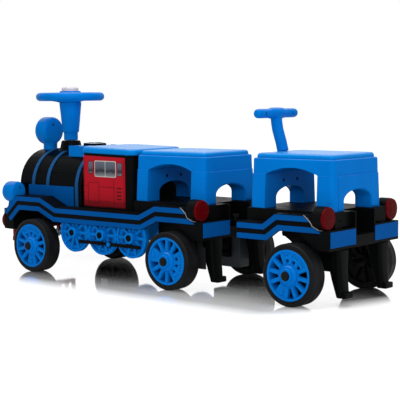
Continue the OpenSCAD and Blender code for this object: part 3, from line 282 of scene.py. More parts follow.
# A plastic's numbers are its colour, its least and most roughness and its specular level
LOOKS = {
    "blue_plastic": plastic("moulded_blue", (0, 114, 202), specular=0.02, top_shine=0.5),
    # Seat blue: a paler copy of the moulded blue for the lit tops, with a pale painted highlight on the
    # top ridges
    "seat_blue_painted_highlight": embossed("embossed_blue_painted_highlight", (0, 126, 208), (30, 147, 219)),
    # Printed stripe blue, also given to the boiler side panels as painted shade on their blue
    "stripe_blue": plastic("printed_stripe_and_panel_shade_blue", (0, 80, 153), (0.36, 0.5), 0.015, grain=800),
    # Darker blue of the boiler bands and their rivets: painted shade on the blue
    "band_shade_blue": plastic("painted_shade_band", (16, 74, 124), (0.34, 0.48), 0.08, grain=900),
    "deep_blue": plastic("shaded_blue", (0, 66, 134), (0.4, 0.55), 0.04),
    "black_plastic": plastic("satin_black", (7, 8, 9), (0.34, 0.5), 0.03, spread=0.2),
    "boiler_black": plastic("gloss_black", (5, 7, 10), (0.16, 0.26), 0.025, spread=0.2),
    # Pale tone of the black chassis lips: a painted highlight on their edge
    "edge_painted_highlight": plastic("black_edge_painted_highlight", (128, 126, 122), (0.14, 0.22), 0.5, spread=0.12),
    "grey_plastic": plastic("dark_grey", (40, 41, 43), (0.4, 0.55), 0.12, grain=1100),
    "gearbox_grey": plastic("mould_grey", (62, 69, 74), (0.4, 0.55), 0.2, grain=700, spread=0.14),
    "tyre": rubber("tyre_black", (10, 11, 12), (19, 20, 22)),
    "red_panel": printed_red("printed_red", (186, 332)),
    "red_plastic": plastic("moulded_red", (120, 12, 22), specular=0.1),
    "window": printed_glass("printed_window", (268, 322)),
    "frame_pale": plastic("printed_frame", (192, 184, 180), (0.4, 0.5), 0.2),
    "line_dark": plastic("printed_line", (84, 8, 18), (0.4, 0.5), 0.1),
    # Near-black screw holes: painted shade inside the sunk holes
    "hole_painted_shade": plastic("screw_hole_painted_shade", (5, 5, 6), (0.6, 0.8), 0.03),
    "red_lens": lamp_red("reflector_red", (92, 4, 9)),
    # Lamp glass ribs: darker grooves are painted shade, paler crests a painted highlight
    "clear_lens": clear_lens("lamp_glass", (196, 204, 214), (236, 240, 244)),
    "steel": metal("bright_steel", (150, 152, 156)),
    "dark_steel": metal("oxide_steel", (34, 34, 36), rough=(0.4, 0.6)),
    "silver_plastic": plastic("silver_paint", (214, 206, 212), (0.25, 0.36), 0.4, grain=900),
    "panel_pale": plastic("clear_cover", (164, 178, 184), (0.1, 0.18), 0.6, grain=500, depth=0.02),
    "white_nylon": plastic("white_nylon", (222, 222, 214), rough=(0.35, 0.5), grain=900),
}


# Mesh helpers, all in millimetres
EDGE_ANGLE, EDGE_STEPS = 32, 3
MERGE_GAP, WELD_GAP = 0.002, 0.02
REARWARD = (-1, 0, 0)


def new_object(name, data):
    made = bpy.data.objects.new(name, data)
    bpy.context.scene.collection.objects.link(made)
    return made


def loose(name, bm):
    """A mesh object in metres that is not dressed yet."""
    bmesh.ops.recalc_face_normals(bm, faces=bm.faces)
    bm.transform(Matrix.Scale(MM, 4))
    mesh = bpy.data.meshes.new(name)
    bm.to_mesh(mesh)
    bm.free()
    return new_object(name, mesh)


def paint(piece, look):
    piece.data.materials.clear()
    piece.data.materials.append(LOOKS[look])


def soften(piece, width):
    """Rounds the edges of a piece with modifiers."""
    edge = piece.modifiers.new("rounding", "BEVEL")
    edge.width = width * MM
    edge.segments = EDGE_STEPS
    edge.limit_method = "ANGLE"
    edge.angle_limit = radians(EDGE_ANGLE)
    piece.modifiers.new("normals", "WEIGHTED_NORMAL").keep_sharp = True


def dress(piece, look, body, slot=None, nodes=(), angle=EDGE_ANGLE, bevel=0.0):
    """Gives a piece its material and body, and hides the nodes that it stands for; the slot is not used.
    """
    paint(piece, look)
    mesh = piece.data
    mesh.polygons.foreach_set("use_smooth", [True] * len(mesh.polygons))
    mesh.set_sharp_from_angle(angle=radians(angle))
    if bevel:
        soften(piece, bevel)
    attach(piece, body)
    if nodes:
        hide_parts(*nodes)


def finish_mesh(name, bm, look, body, *rest, **settings):
    """Makes a piece and dresses it."""
    bmesh.ops.remove_doubles(bm, verts=bm.verts, dist=MERGE_GAP)
    dress(loose(name, bm), look, body, *rest, **settings)


def dress_node(node, look, width):
    """Gives a CAD node its material and rounded edges."""
    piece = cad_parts[node]
    paint(piece, look)
    piece.modifiers.new("weld", "WELD").merge_threshold = WELD_GAP * MM
    soften(piece, width)


def loft(bm, loops, caps=(True, True)):
    """Skins a list of closed loops that have the same number of points."""
    rows = [[bm.verts.new(p) for p in loop] for loop in loops]
    count = len(rows[0])
    for low, high in zip(rows, rows[1:]):
        for i in range(count):
            j = (i + 1) % count
            bm.faces.new((low[i], low[j], high[j], high[i]))
    if caps[0]:
        bm.faces.new(list(reversed(rows[0])))
    if caps[1]:
        bm.faces.new(rows[-1])


def revolve(bm, profile, place, steps=64):
    """Turns a profile of (radius, height) about an axis; place(radius, angle, height) gives the point."""
    rows = []
    for radius, height in profile:
        if radius < 0.001:
            rows.append([bm.verts.new(place(0.0, 0.0, height))])
            continue
        turns = [radians(360.0 * i / steps) for i in range(steps)]
        rows.append([bm.verts.new(place(radius, turn, height)) for turn in turns])
    for low, high in zip(rows, rows[1:]):
        for i in range(steps):
            j = (i + 1) % steps
            corners = [low[i % len(low)], low[j % len(low)], high[j % len(high)], high[i % len(high)]]
            corners = list(dict.fromkeys(corners))
            if len(corners) > 2:
                bm.faces.new(corners)


def about_x(x, y, z, sign=1):
    return lambda r, a, h: (x + sign * h, y + r * cos(a), z + r * sin(a))


def about_y(x, z, side=1, inner=0):
    """Heights run out to one side, from a distance off the middle."""
    return lambda r, a, h: (x + r * cos(a), side * (inner + h), z + r * sin(a))


def about_z(x):
    return lambda r, a, h: (x + r * cos(a), r * sin(a), h)


def about(point, normal):
    """Places a turned profile on any surface point, along its normal."""
    turn = Vector(normal).normalized().to_track_quat("Z", "Y").to_matrix()
    base = Vector(point)
    return lambda r, a, h: base + turn @ Vector((r * cos(a), r * sin(a), h))


def arc(centre, radius, start, end, steps):
    """Points of an arc in a profile, angles in degrees."""
    turns = [radians(start + (end - start) * i / steps) for i in range(steps + 1)]
    return [(centre[0] + radius * cos(t), centre[1] + radius * sin(t)) for t in turns]


def half_turn(parts, first, last):
    """Angles in steps of a part of half a turn, from the first step to the last."""
    return [pi * i / parts for i in range(first, last + 1)]


def round_rect(length, width, radius, steps=8):
    """Outline of a rectangle with rounded corners, anticlockwise."""
    points = []
    for cx, cy, start in ((1, 1, 0), (-1, 1, 90), (-1, -1, 180), (1, -1, 270)):
        centre = (cx * (length / 2 - radius), cy * (width / 2 - radius))
        points += arc(centre, radius, start, start + 90, steps)
    return points


def inset_rect(size, corner, inset, least=3, steps=8):
    """The rounded outline of a rectangle, drawn in from its edge."""
    return round_rect(size[0] - 2 * inset, size[1] - 2 * inset, max(corner - inset, least), steps)


def prism(bm, outline, low, high, place):
    """Solid between two levels; place(u, v, level) gives the point."""
    loft(bm, [[place(u, v, level) for u, v in outline] for level in (low, high)])


def on_side(y_sign):
    """Outline u along x, v along z, levels outwards along y."""
    return lambda u, v, level: (u, y_sign * level, v)


def tube(bm, path, radii, sides):
    """Sweeps a round section along a path, with closed ends."""
    points = [Vector(p) for p in path]
    loops, side_axis = [], None
    for i, point in enumerate(points):
        ahead = (points[min(i + 1, len(points) - 1)] - points[max(i - 1, 0)]).normalized()
        if side_axis is None:
            helper = Vector((0, 1, 0)) if abs(ahead.y) < 0.9 else Vector((0, 0, 1))
            side_axis = ahead.cross(helper).normalized()
        side_axis = (side_axis - ahead * side_axis.dot(ahead)).normalized()
        other = ahead.cross(side_axis)
        loops.append([point + radii[i] * (cos(t) * side_axis + sin(t) * other)
                      for t in (2 * pi * k / sides for k in range(sides))])
    loft(bm, loops)


def rivet(bm, point, normal, radius, height, steps=10):
    """A low domed head that sits a little into its surface."""
    profile = [(radius, -0.4), (radius, height * 0.35), (radius * 0.75, height * 0.8),
               (radius * 0.4, height), (0, height)]
    revolve(bm, profile, about(point, normal), steps)


def make_screws(name, body, places):
    """Sunk screws in rear faces: a ring and a head inside it, near-black as painted hole shade; places
    are (point, radius).
    """
    bm = bmesh.new()
    for point, radius in places:
        profile = [(radius, -0.6), (radius, 0.25), (radius * 0.72, 0.3), (radius * 0.62, 0.1), (0, 0.1)]
        revolve(bm, profile, about(point, REARWARD), 16)
    # Near-black tone paints the shade inside each sunk hole
    finish_mesh(name, bm, "hole_painted_shade", body)


def applied(piece):
    """Puts the result of a piece's modifiers into its mesh."""
    graph = bpy.context.evaluated_depsgraph_get()
    mesh = bpy.data.meshes.new_from_object(piece.evaluated_get(graph))
    piece.modifiers.clear()
    piece.data = mesh
    return piece


def cut(piece, cutter):
    """Takes the cutter's form out of a piece."""
    hole = piece.modifiers.new("cut", "BOOLEAN")
    hole.operation = "DIFFERENCE"
    hole.solver = "EXACT"
    hole.object = cutter
    applied(piece)
    bpy.data.objects.remove(cutter)


def melt(piece, voxel, rounds):
    """Blends overlapping forms into one smooth moulding."""
    grid = piece.modifiers.new("melt", "REMESH")
    grid.mode = "VOXEL"
    grid.voxel_size = voxel * MM
    smooth = piece.modifiers.new("smooth", "SMOOTH")
    smooth.factor = 0.5
    smooth.iterations = rounds
    return applied(piece)


# Wheels
def rib_between(bm, place, angle, radii, half, levels):
    """A straight rib along a spoke direction of a wheel."""
    turn = radians(angle)
    outline = [(radii[0], -half[0]), (radii[1], -half[1]), (radii[1], half[1]), (radii[0], half[0])]
    loft(bm, [[place(hypot(u, v), turn + atan2(v, u), level) for u, v in outline] for level in levels])


def make_tyre(name, place):
    seam = [(75, 23.1), (75.15, 23.5), (75, 23.9)]
    tread = arc((69, 6), 6, -90, 0, 6) + seam + arc((69, 41), 6, 0, 90, 6)
    back = [(0, 36), (6.1, 36), (6.1, -8), (16, -8), (17, -7), (17, 11), (18, 12), (56, 12),
            (58, 10), (58, 1), (59, 0), (62, 0), (62.6, 0.7), (64.4, 0.7), (65, 0)]
    face = [(66.6, 47), (66, 46.3), (65, 46.3), (64.4, 47), (62.3, 47), (61.4, 46.2), (61.4, 17.6),
            (60.6, 17), (18, 17), (17, 18), (17, 39.4), (16.2, 40), (11, 40), (11, 58.6), (10.4, 60.2),
            (9, 61), (4, 61), (3.4, 60.3), (0, 60.3)]
    bm = bmesh.new()
    revolve(bm, back + tread + face, place, 96)
    for i in range(10):
        rib_between(bm, place, 36 * i + 9, (16.6, 58.2), (1.6, 1.6), (2.5, 12.4))
    finish_mesh(name + "_tread", bm, "tyre", name + "_wheel", "tyre", [name + "_tyre"])


def bead(bm, place, radius, level, half, height, steps=72):
    """A low rounded ring on a flat face."""
    profile = [(radius + half * cos(t), level - 0.2 + height * sin(t)) for t in half_turn(6, 0, 6)]
    revolve(bm, profile, place, steps)


def make_rim_relief(name, place, side, weight):
    """Rivets on the counterweight, ring beads and a raised ridge on each spoke."""
    bm, dots = bmesh.new(), bmesh.new()
    bead(bm, place, 58.2, RIM_FACE, 1.6, 1.0)
    bead(bm, place, 28.5, SPOKE_FACE, 1.2, 0.9)
    for i in range(WEIGHT_DOTS):
        angle = radians(weight - WEIGHT_SWEEP / 2 + WEIGHT_SWEEP * i / (WEIGHT_DOTS - 1))
        rivet(dots, place(47.5, angle, SPOKE_FACE), (0, side, 0), 1.7, 0.7)
    for i in range(SPOKES):
        if i not in WEIGHT_SPOKES:
            rib_between(bm, place, weight + 15 + 30 * i, (27, 55), (2.6, 3.4), (43.6, 44.9))
    for offset in (-7.5, 7.5):
        angle = radians(weight + 180 + offset)
        rivet(bm, place(33, angle, SPOKE_FACE), (0, side, 0), 1.7, 1.2)
    pin = place(45, radians(weight + 180), 43.5)
    revolve(bm, [(0, 0), (5, 0), (5, 3.4), (4.2, 4.2), (0, 4.2)], about(pin, (0, side, 0)), 24)
    finish_mesh(name + "_rim_relief", bm, "blue_plastic", name + "_wheel", "blue_plastic")
    finish_mesh(name + "_rim_dots", dots, "deep_blue", name + "_wheel", "blue_plastic")
    dress_node(name + "_rim", "blue_plastic", 0.8)


for wheel, (axle_x, wheel_side, weight_angle) in WHEELS.items():
    wheel_place = about_y(axle_x, AXLE_Z, wheel_side, TYRE_IN_Y)
    make_tyre(wheel, wheel_place)
    make_rim_relief(wheel, wheel_place, wheel_side, weight_angle)


# Stools and their lids
STOOL_FOOT, STOOL_TOP, STOOL_H = (244, 217), (242, 203), 122
STOOL_CORNER, GROOVE_Z = 13, 84
END_ARCH, PANEL_GAP = (60, 23, 26), 3
LID_SIZE, LID_CORNER = (226, 187), 9
STOOLS = (("loco_stool", -39, 216, "locomotive"), ("carriage_stool", -429, 220, "carriage"))


def stool_outline(z, inset):
    size = [foot + (top - foot) * (z / STOOL_H) for foot, top in zip(STOOL_FOOT, STOOL_TOP)]
    return inset_rect(size, STOOL_CORNER, inset)


def stool_block(x, z0):
    """Moulded body whose lower part stands proud of the upper one, with a soft upper edge."""
    levels = [(0, 0.6), (0.6, 0), (GROOVE_Z - 0.8, 0), (GROOVE_Z - 0.2, 0.3), (GROOVE_Z, 0.8),
              (GROOVE_Z + 0.1, 1.5), (STOOL_H - 4, 1.2)]
    levels += [(STOOL_H - 4 + 4 * sin(t), 5.2 - 4 * cos(t)) for t in half_turn(12, 1, 6)]
    bm = bmesh.new()
    loft(bm, [[(x + u, v, z0 + z) for u, v in stool_outline(z, inset)] for z, inset in levels])
    return bm


def side_arch_outline():
    half, spring, rise = 76, 84, 17
    radius = (half * half + rise * rise) / (2 * rise)
    reach = degrees(asin(half / radius))
    crown = arc((0, spring + rise - radius), radius, 90 - reach, 90 + reach, 24)
    return [(-half, -5), (half, -5)] + crown


def end_arch_crown(grow=0):
    half, spring, rise = END_ARCH
    return [((half + grow) * cos(t), spring + (rise + grow) * sin(t)) for t in half_turn(24, 0, 24)]


def end_arch_outline():
    half = END_ARCH[0]
    return [(-half, -5), (half, -5)] + end_arch_crown()


def end_panel_outline():
    """The raised panel of an end face, round the arch."""
    reach, foot, top, corner = 84, 3, GROOVE_Z - 0.6, 9
    half = END_ARCH[0] + PANEL_GAP
    outside = [(reach, foot)] + arc((reach - corner, top - corner), corner, 0, 90, 6)
    outside += arc((-reach + corner, top - corner), corner, 90, 180, 6) + [(-reach, foot)]
    return outside + [(-half, foot)] + list(reversed(end_arch_crown(PANEL_GAP))) + [(half, foot)]


def make_stool(name, x, z0, body):
    """Block with arches cut through it, raised end panels and two screws inside its front wall."""
    beyond, tilt = 160, (STOOL_FOOT[0] - STOOL_TOP[0]) / 2 / STOOL_H
    shell = loose(name + "_shell", stool_block(x, z0))
    bm = bmesh.new()
    prism(bm, [(x + u, z0 + v) for u, v in side_arch_outline()], -beyond, beyond, on_side(1))
    cut(shell, loose("side_cutter", bm))
    bm = bmesh.new()
    loft(bm, [[(level, u, z0 + v) for u, v in end_arch_outline()] for level in (x - beyond, x + beyond)])
    cut(shell, loose("end_cutter", bm))
    dress(shell, "blue_plastic", body, "blue_plastic", [name], angle=28, bevel=0.9)
    for sign, label in ((1, "front"), (-1, "rear")):
        bm = bmesh.new()

        def on_slope(u, v, level, sign=sign):
            return (x + sign * (STOOL_FOOT[0] / 2 - tilt * v + level), u, z0 + v)
        prism(bm, end_panel_outline(), -0.6, 1.3, on_slope)
        finish_mesh(name + "_panel_" + label, bm, "blue_plastic", body, "blue_plastic", bevel=0.6)
    make_screws(name + "_screws", body, [((x + 76, y, z0 + 64), 4.2) for y in (-28.6, 28.6)])


def cushion_plate(bm, outline, levels, place):
    """Stacks inset copies of an outline: levels are (inset, height) pairs."""
    loft(bm, [[place(u, v, height) for u, v in outline(inset)] for inset, height in levels])


def make_stool_lid(name, x, z0, body):
    def outline(inset):
        return inset_rect(LID_SIZE, LID_CORNER, inset, 2.5, 10)
    edge = [(9 - 9 * cos(t), 3.6 + 8.4 * sin(t)) for t in half_turn(18, 0, 9)]
    levels = [(0.8, 0), (0, 0.8)] + edge + [(14, 12.2), (40, 12.4), (80, 12.5)]
    bm = bmesh.new()
    cushion_plate(bm, outline, levels, lambda u, v, h: (x + u, v, z0 + h))
    finish_mesh(name + "_pad", bm, "seat_blue_painted_highlight", body, "blue_plastic", [name], angle=40)


for stool, stool_x, stool_z, rider in STOOLS:
    make_stool(stool, stool_x, stool_z, rider)
for stool, stool_x, stool_z, rider in STOOLS:
    make_stool_lid(stool + "_lid", stool_x, stool_z + STOOL_H, rider)


# Driver's seat, hinged at its front edge
SEAT_X, SEAT_Z, SEAT_FALL = 196, 337.2, 4 / 198
SEAT_SIZE, SEAT_CORNER = (204, 214), 28
HINGE_X, HINGE_Z, HINGE_HALF = 311, 349, 43


def make_driver_seat():
    def outline(inset):
        return inset_rect(SEAT_SIZE, SEAT_CORNER, inset, steps=12)

    def place(u, v, h):
        return (SEAT_X + u, v, SEAT_Z + SEAT_FALL * u + h)
    low = [(3 - 3 * sin(t), 3 - 3 * cos(t)) for t in half_turn(8, 0, 4)]
    edge = [(9 - 9 * cos(t), 8 + 9 * sin(t)) for t in half_turn(18, 0, 9)]
    levels = low + edge + [(16, 17.1), (45, 17.3), (90, 17.3)]
    bm = bmesh.new()
    cushion_plate(bm, outline, levels, place)
    for inset in (9, 12):
        skirt = inset_rect(SEAT_SIZE, SEAT_CORNER, inset)
        loft(bm, [[place(u, v, h) for u, v in skirt] for h in (-5, 0.4)], caps=(inset == 9, False))
    barrel = [(3.2, -HINGE_HALF), (5.4, -HINGE_HALF), (6, 0.6 - HINGE_HALF)]
    barrel += [(r, -y) for r, y in reversed(barrel)]
    revolve(bm, barrel, about_y(HINGE_X, HINGE_Z), 32)
    tongue = [(272, 346), (306, 345.4), (HINGE_X, 343.2), (HINGE_X, 354.6), (306, 353), (272, 353)]
    prism(bm, tongue, -HINGE_HALF, HINGE_HALF, on_side(1))
    finish_mesh("driver_seat_pad", bm, "seat_blue_painted_highlight", "driver_seat", "blue_plastic", ["seat_lid"], angle=40)


make_driver_seat()


# Steering wheel, column and horn cap
RING_R, RING_TUBE, RING_Z = 87.5, 12.5, 495


def make_steering_wheel():
    bm = bmesh.new()
    ring = arc((RING_R, RING_Z), RING_TUBE, 0, 360, 24)
    revolve(bm, ring, about_z(X_COLUMN), 96)
    hub = [(0, 478), (32, 478), (32.4, 479), (31, 510.5), (29.6, 512), (28, 512), (27, 510.6),
           (27, 498.5), (0, 498.5)]
    revolve(bm, hub, about_z(X_COLUMN), 64)
    for angle in (180, 300, 60):
        a = radians(angle)
        path = [(X_COLUMN + r * cos(a), r * sin(a), z) for r, z in
                ((26, 489), (36, 490), (50, 491), (64, 492), (76, 493.5), (86, RING_Z))]
        tube(bm, path, [13, 11, 9.5, 9, 9.6, 11], 24)
    bmesh.ops.remove_doubles(bm, verts=bm.verts, dist=0.01)
    piece = melt(loose("steering_wheel_moulding", bm), 1.7, 7)
    dress(piece, "blue_plastic", "steering", "blue_plastic", ["steering_wheel"], angle=50)


def make_turned(name, profile, steps, look, body, slot, node):
    """A piece turned about the steering column."""
    bm = bmesh.new()
    revolve(bm, profile, about_z(X_COLUMN), steps)
    finish_mesh(name, bm, look, body, slot, [node], angle=40)


COLUMN = [(6.2, 368), (19.5, 368), (20.5, 369), (20.5, 388.5), (21.2, 390), (23, 391), (24, 392.4),
          (24.8, 400), (27.3, 425), (30.2, 455), (32.1, 474), (32.4, 477.4), (30, 478), (28, 484),
          (6.2, 484), (6.2, 368)]
COLLAR = [(7, 330), (34.5, 330), (34.5, 337), (33, 343), (30.4, 353), (28.8, 361), (27.6, 364.4),
          (25.2, 366.6), (22, 367), (7, 367), (7, 330)]
HORN = [(0, 505.6), (23.4, 505.6), (25, 507.2), (25, 516)] + arc((19.5, 517.6), 5.5, 0, 80, 7) + [
    (14, 523.9), (7, 524.05), (0, 524.1)]
make_steering_wheel()
make_turned("column_sleeve", COLUMN, 72, "blue_plastic", "steering", "blue_plastic", "steering_column")
make_turned("collar_bell", COLLAR, 64, "boiler_black", "locomotive", "black_plastic", "steering_collar")
make_turned("horn_button", HORN, 64, "silver_plastic", "horn", "silver_plastic", "horn_cap")


# T-handle of the carriage
HANDLE_X, HANDLE_Z = -309, 449


def make_t_handle():
    bm = bmesh.new()
    ends = [(82.4, 5), (81.4, 8.6), (79.4, 10.6), (76, 11.6), (72, 11.9)]
    bar = [(-y, r) for y, r in ends] + list(reversed(ends))
    crown = [(-32, 11), (-28, 13), (-20, 14.4), (0, 14.9), (20, 14.4), (28, 13), (32, 11)]
    for rod in (bar, crown):
        tube(bm, [(HANDLE_X, y, HANDLE_Z) for y, _ in rod], [r for _, r in rod], 28)
    post = [(-330.4, 353.6, 14.6), (-328.2, 362, 14.5), (-324.6, 376, 14.4), (-318.6, 394, 14.4),
            (-314, 408, 14.4), (-311, 424, 14.4), (-309.4, 438, 14.5), (HANDLE_X, HANDLE_Z, 14.6)]
    tube(bm, [(x, 0, z) for x, z, _ in post], [r for _, _, r in post], 32)
    piece = melt(loose("t_handle_moulding", bm), 1.6, 7)
    dress(piece, "blue_plastic", "carriage", "blue_plastic", ["t_handle"], angle=60)
    make_screws("t_handle_screws", "carriage", [
        ((HANDLE_X - reach, y, HANDLE_Z - drop), 3.6) for y, drop, reach in (
            (56, 0, 11.4), (0, 8, 12.8), (-56, 0, 11.4))])


make_t_handle()


# Lamps
LENS_RIM, LENS_DEPTH = 6.4, 4.9


def lamp_profile(r, length, dome, lip):
    """Drum with a domed back, a rounded front lip and a seat for the lens; heights run forwards."""
    back = [(0, -dome), (r * 0.6, -dome), (r * 0.7, -dome + 0.4)]
    side = [(r - (r * 0.26) * (1 - sin(t)), -dome + 0.6 + (dome + 1) * (1 - cos(t)))
            for t in half_turn(14, 1, 7)]
    front = arc((r - lip, length - lip), lip, 0, 70, 6)
    seat = [(r - LENS_RIM, length - LENS_DEPTH), (0, length - LENS_DEPTH)]
    return back + side + front + [(r - 6.2, length - 0.3)] + seat


def make_top_lamp():
    x, z, r, neck_x = 524, 394, 41, 532
    bm = bmesh.new()
    revolve(bm, lamp_profile(r, 34, 12, 9), about_x(x, 0, z), 72)
    neck = [(0, 333), (21.6, 333), (21, 340), (20.5, 346), (20.4, 352), (21.4, 357), (23, 361), (0, 361)]
    revolve(bm, neck, about_z(neck_x), 48)
    finish_mesh("top_lamp_drum", bm, "blue_plastic", "locomotive", "blue_plastic", ["top_lamp_housing"],
                angle=36)
    make_screws("top_lamp_screws", "locomotive", [
        ((x - 12, 6, z + 18), 3.0), ((neck_x - 20.3, 0, 350), 2.6)])


def make_front_lamps():
    """Two drums on feet; the feet's sections are height, back, front and half width."""
    x, z, dome = 532, 220, 8
    foot = ((170, 544, 562, 13), (182, 544.4, 561, 12), (190, 543, 560, 11.4), (198, 540, 559, 11.6))
    bm = bmesh.new()
    for side in SIDES:
        y = side * 134
        revolve(bm, lamp_profile(30, 36, dome, 8), about_x(x, y, z), 64)
        loft(bm, [[((x0 + x1) / 2 + u, y + v, level) for u, v in round_rect(x1 - x0, 2 * half, 4, 5)]
                  for level, x0, x1, half in foot])
    finish_mesh("front_lamp_drums", bm, "blue_plastic", "locomotive", "blue_plastic",
                ["front_lamp_housings"], angle=36)
    make_screws("front_lamp_screws", "locomotive", [
        ((x - dome, side * 130, z + 12), 2.6) for side in SIDES])


make_top_lamp()
make_front_lamps()


# Red reflectors: shallow ones at the rear, deep ones at the front
def make_reflectors():
    rear = [(0, -0.5), (26.6, -0.5), (27, 0), (27, 3.6), (26.4, 5.2), (25, 6), (23.8, 6), (23, 5.4),
            (15, 6), (0, 6.4)]
    front = [(0, -0.5), (28, -0.5), (28, 6)] + arc((20, 8), 8, 0, 70, 7)
    front += [(16, 15.9), (8, 16.1), (0, 16.1)]
    loco_places = ((rear, X_REAR - 80, 139, DECK_Z + 20.5, -1), (front, X_FRONT + 148, 125, 135, 1))
    carriage_places = ((rear, X_CAR - 80, 139, CAR_DECK_Z + 20.5, -1),)
    for name, body, places in (("loco_red_lenses", "locomotive", loco_places),
                               ("carriage_red_lenses", "carriage", carriage_places)):
        bm = bmesh.new()
        for profile, x, y, z, sign in places:
            for side in SIDES:
                revolve(bm, profile, about_x(x, side * y, z, sign), 56)
        finish_mesh(name + "_domes", bm, "red_lens", body, "red_lens", [name], angle=24)


make_reflectors()


# Printed cab panels
PANEL_Y, LINE_HALF = 106, 0.6
PRINT_LEVELS, PANE_LEVELS = (PANEL_Y - 0.3, PANEL_Y + 0.5), (PANEL_Y, PANEL_Y + 0.9)


def slab(bm, side, x0, x1, z0, z1, levels=PRINT_LEVELS, corner=1.5):
    outline = [((x0 + x1) / 2 + u, (z0 + z1) / 2 + v) for u, v in round_rect(x1 - x0, z1 - z0, corner, 3)]
    prism(bm, outline, *levels, on_side(side))


def make_cab_print():
    frames, panes, lines, slots = (bmesh.new() for _ in range(4))
    for side in SIDES:
        slab(frames, side, 154, 236.5, 273.8, 318.7, corner=4)
        for x0, x1, z0, z1 in ((241.5, 261, 282, 317), (130.5, 150, 278, 315)):
            slab(lines, side, x0, x1, z0, z1, corner=4)
            slab(panes, side, x0 + 1.4, x1 - 1.4, z0 + 1.6, z1 - 1.6, PANE_LEVELS, corner=3)
        for x0, x1 in ((156.4, 194), (196.5, 234.1)):
            slab(panes, side, x0, x1, 276.2, 316.3, PANE_LEVELS, corner=3)
        for x, z0, z1 in ((124.5, 196, 322), (162.5, 200, 272), (221, 202, 258), (263, 202, 258),
                          (278, 196, 322)):
            slab(lines, side, x - LINE_HALF, x + LINE_HALF, z0, z1, corner=0.3)
        for z, x0, x1 in ((258, 221, 263), (202, 221, 263), (248, 263, 277), (246.5, 162.5, 221)):
            slab(lines, side, x0, x1, z - LINE_HALF, z + LINE_HALF, corner=0.3)
        for z in (213, 223, 233, 243):
            slab(slots, side, 135, 153, z, z + 4, corner=1.6)
        for x, z in ((232, 263), (170, 264), (256, 226), (234, 226), (272, 300), (272, 215)):
            rivet(slots, (x, side * PANEL_Y, z), (0, side, 0), 1.3, 0.8)
    prints = (("cab_window_frames", frames, "frame_pale"), ("cab_window_panes", panes, "window"),
              ("cab_panel_lines", lines, "line_dark"), ("cab_louvres", slots, "line_dark"))
    for name, bm, look in prints:
        finish_mesh(name, bm, look, "locomotive")


make_cab_print()


# Boiler: seam ribs, rivets on the bands, smokebox door fittings
BOILER_R, BOILER_Z = 102, 238
BANDS, COLLAR_BAND = (494, 433, 313), 433
DOOR_X, DOOR_Z = X_FRONT + 139, 243


def on_boiler(x, angle, radius=BOILER_R):
    a = radians(angle)
    return (x, radius * cos(a), BOILER_Z + radius * sin(a))


def make_boiler_details():
    ribs, rivets = bmesh.new(), bmesh.new()
    for angle in (24, 52, 128, 156):
        a = radians(angle)
        outward = Vector((0, cos(a), sin(a)))
        path = [Vector(on_boiler(x, angle, BOILER_R - 0.3)) for x in (297, 380, 460, 551)]
        tube(ribs, path, [1.3] * 4, 8)
        for x in range(305, 551, 24):
            if min(abs(x - place) for place in BANDS) > 10:
                beside = angle - 4 if angle < 90 else angle + 4
                rivet(ribs, Vector(on_boiler(x, beside)), outward, 1.6, 1.0, 8)
    for place in BANDS:
        for angle in range(8, 173, 12):
            if place == COLLAR_BAND and abs(angle - 90) < 22:
                continue
            a = radians(angle)
            outward = (0, cos(a), sin(a))
            rivet(rivets, on_boiler(place, angle, BOILER_R + 3), outward, 1.5, 1.0, 8)
    finish_mesh("boiler_seams", ribs, "boiler_black", "locomotive", "black_plastic")
    # The band rivets' darker blue is painted shade
    finish_mesh("band_rivets", rivets, "band_shade_blue", "locomotive", "stripe_blue")
    door = bmesh.new()
    for i in range(12):
        a = 2 * pi * i / 12
        rivet(door, (DOOR_X - 0.2, 47 * cos(a), DOOR_Z + 47 * sin(a)), (1, 0, 0), 2.6, 1.8)
    bead(door, about_x(DOOR_X, 0, DOOR_Z), 34, 0, 2, 1.6)
    for z in (DOOR_Z + 25, DOOR_Z - 25):
        strap = [(DOOR_X, 48, z), (DOOR_X + 2, 40, z), (DOOR_X + 2, 14, z), (DOOR_X + 0.5, 4, z)]
        tube(door, strap, [3, 3.4, 3.4, 2.6], 10)
    finish_mesh("smokebox_fittings", door, "black_plastic", "locomotive", "black_plastic")


make_boiler_details()


# False driving wheels
FALSE_X, FALSE_Z, FALSE_SPOKES = (278.3, 169.0, 59.7), 120, 10
FALSE_FACE, FALSE_RIM = 144, 149
FALSE_CAP = ((0, 158.6), (8.6, 158.6), (8.6, 160.4), (7.6, 161.2), (4.4, 161.2), (4, 160.6), (0, 160.6))


def make_false_wheels():
    relief, dark, caps = bmesh.new(), bmesh.new(), bmesh.new()
    for side in SIDES:
        for x in FALSE_X:
            place = about_y(x, FALSE_Z, side)
            bead(relief, place, 51, FALSE_RIM, 2.2, 1.0, 64)
            bead(relief, place, 21, FALSE_FACE, 2.0, 2.2, 48)
            for i in range(FALSE_SPOKES):
                rib_between(relief, place, 36 * i, (14.6, 48.4), (3.4, 4.4), (143.6, 147.2))
                rib_between(dark, place, 36 * i + 18, (24, 37), (3.2, 7), (143.6, 144.5))
                a = radians(36 * i + 18)
                rivet(relief, place(43.5, a, FALSE_FACE), (0, side, 0), 2.0, 1.6, 8)
            revolve(caps, FALSE_CAP, place, 28)
    finish_mesh("false_wheel_relief", relief, "blue_plastic", "locomotive", "blue_plastic")
    finish_mesh("false_wheel_windows", dark, "deep_blue", "locomotive", "blue_plastic")
    finish_mesh("false_wheel_caps", caps, "black_plastic", "locomotive", "black_plastic")


make_false_wheels()


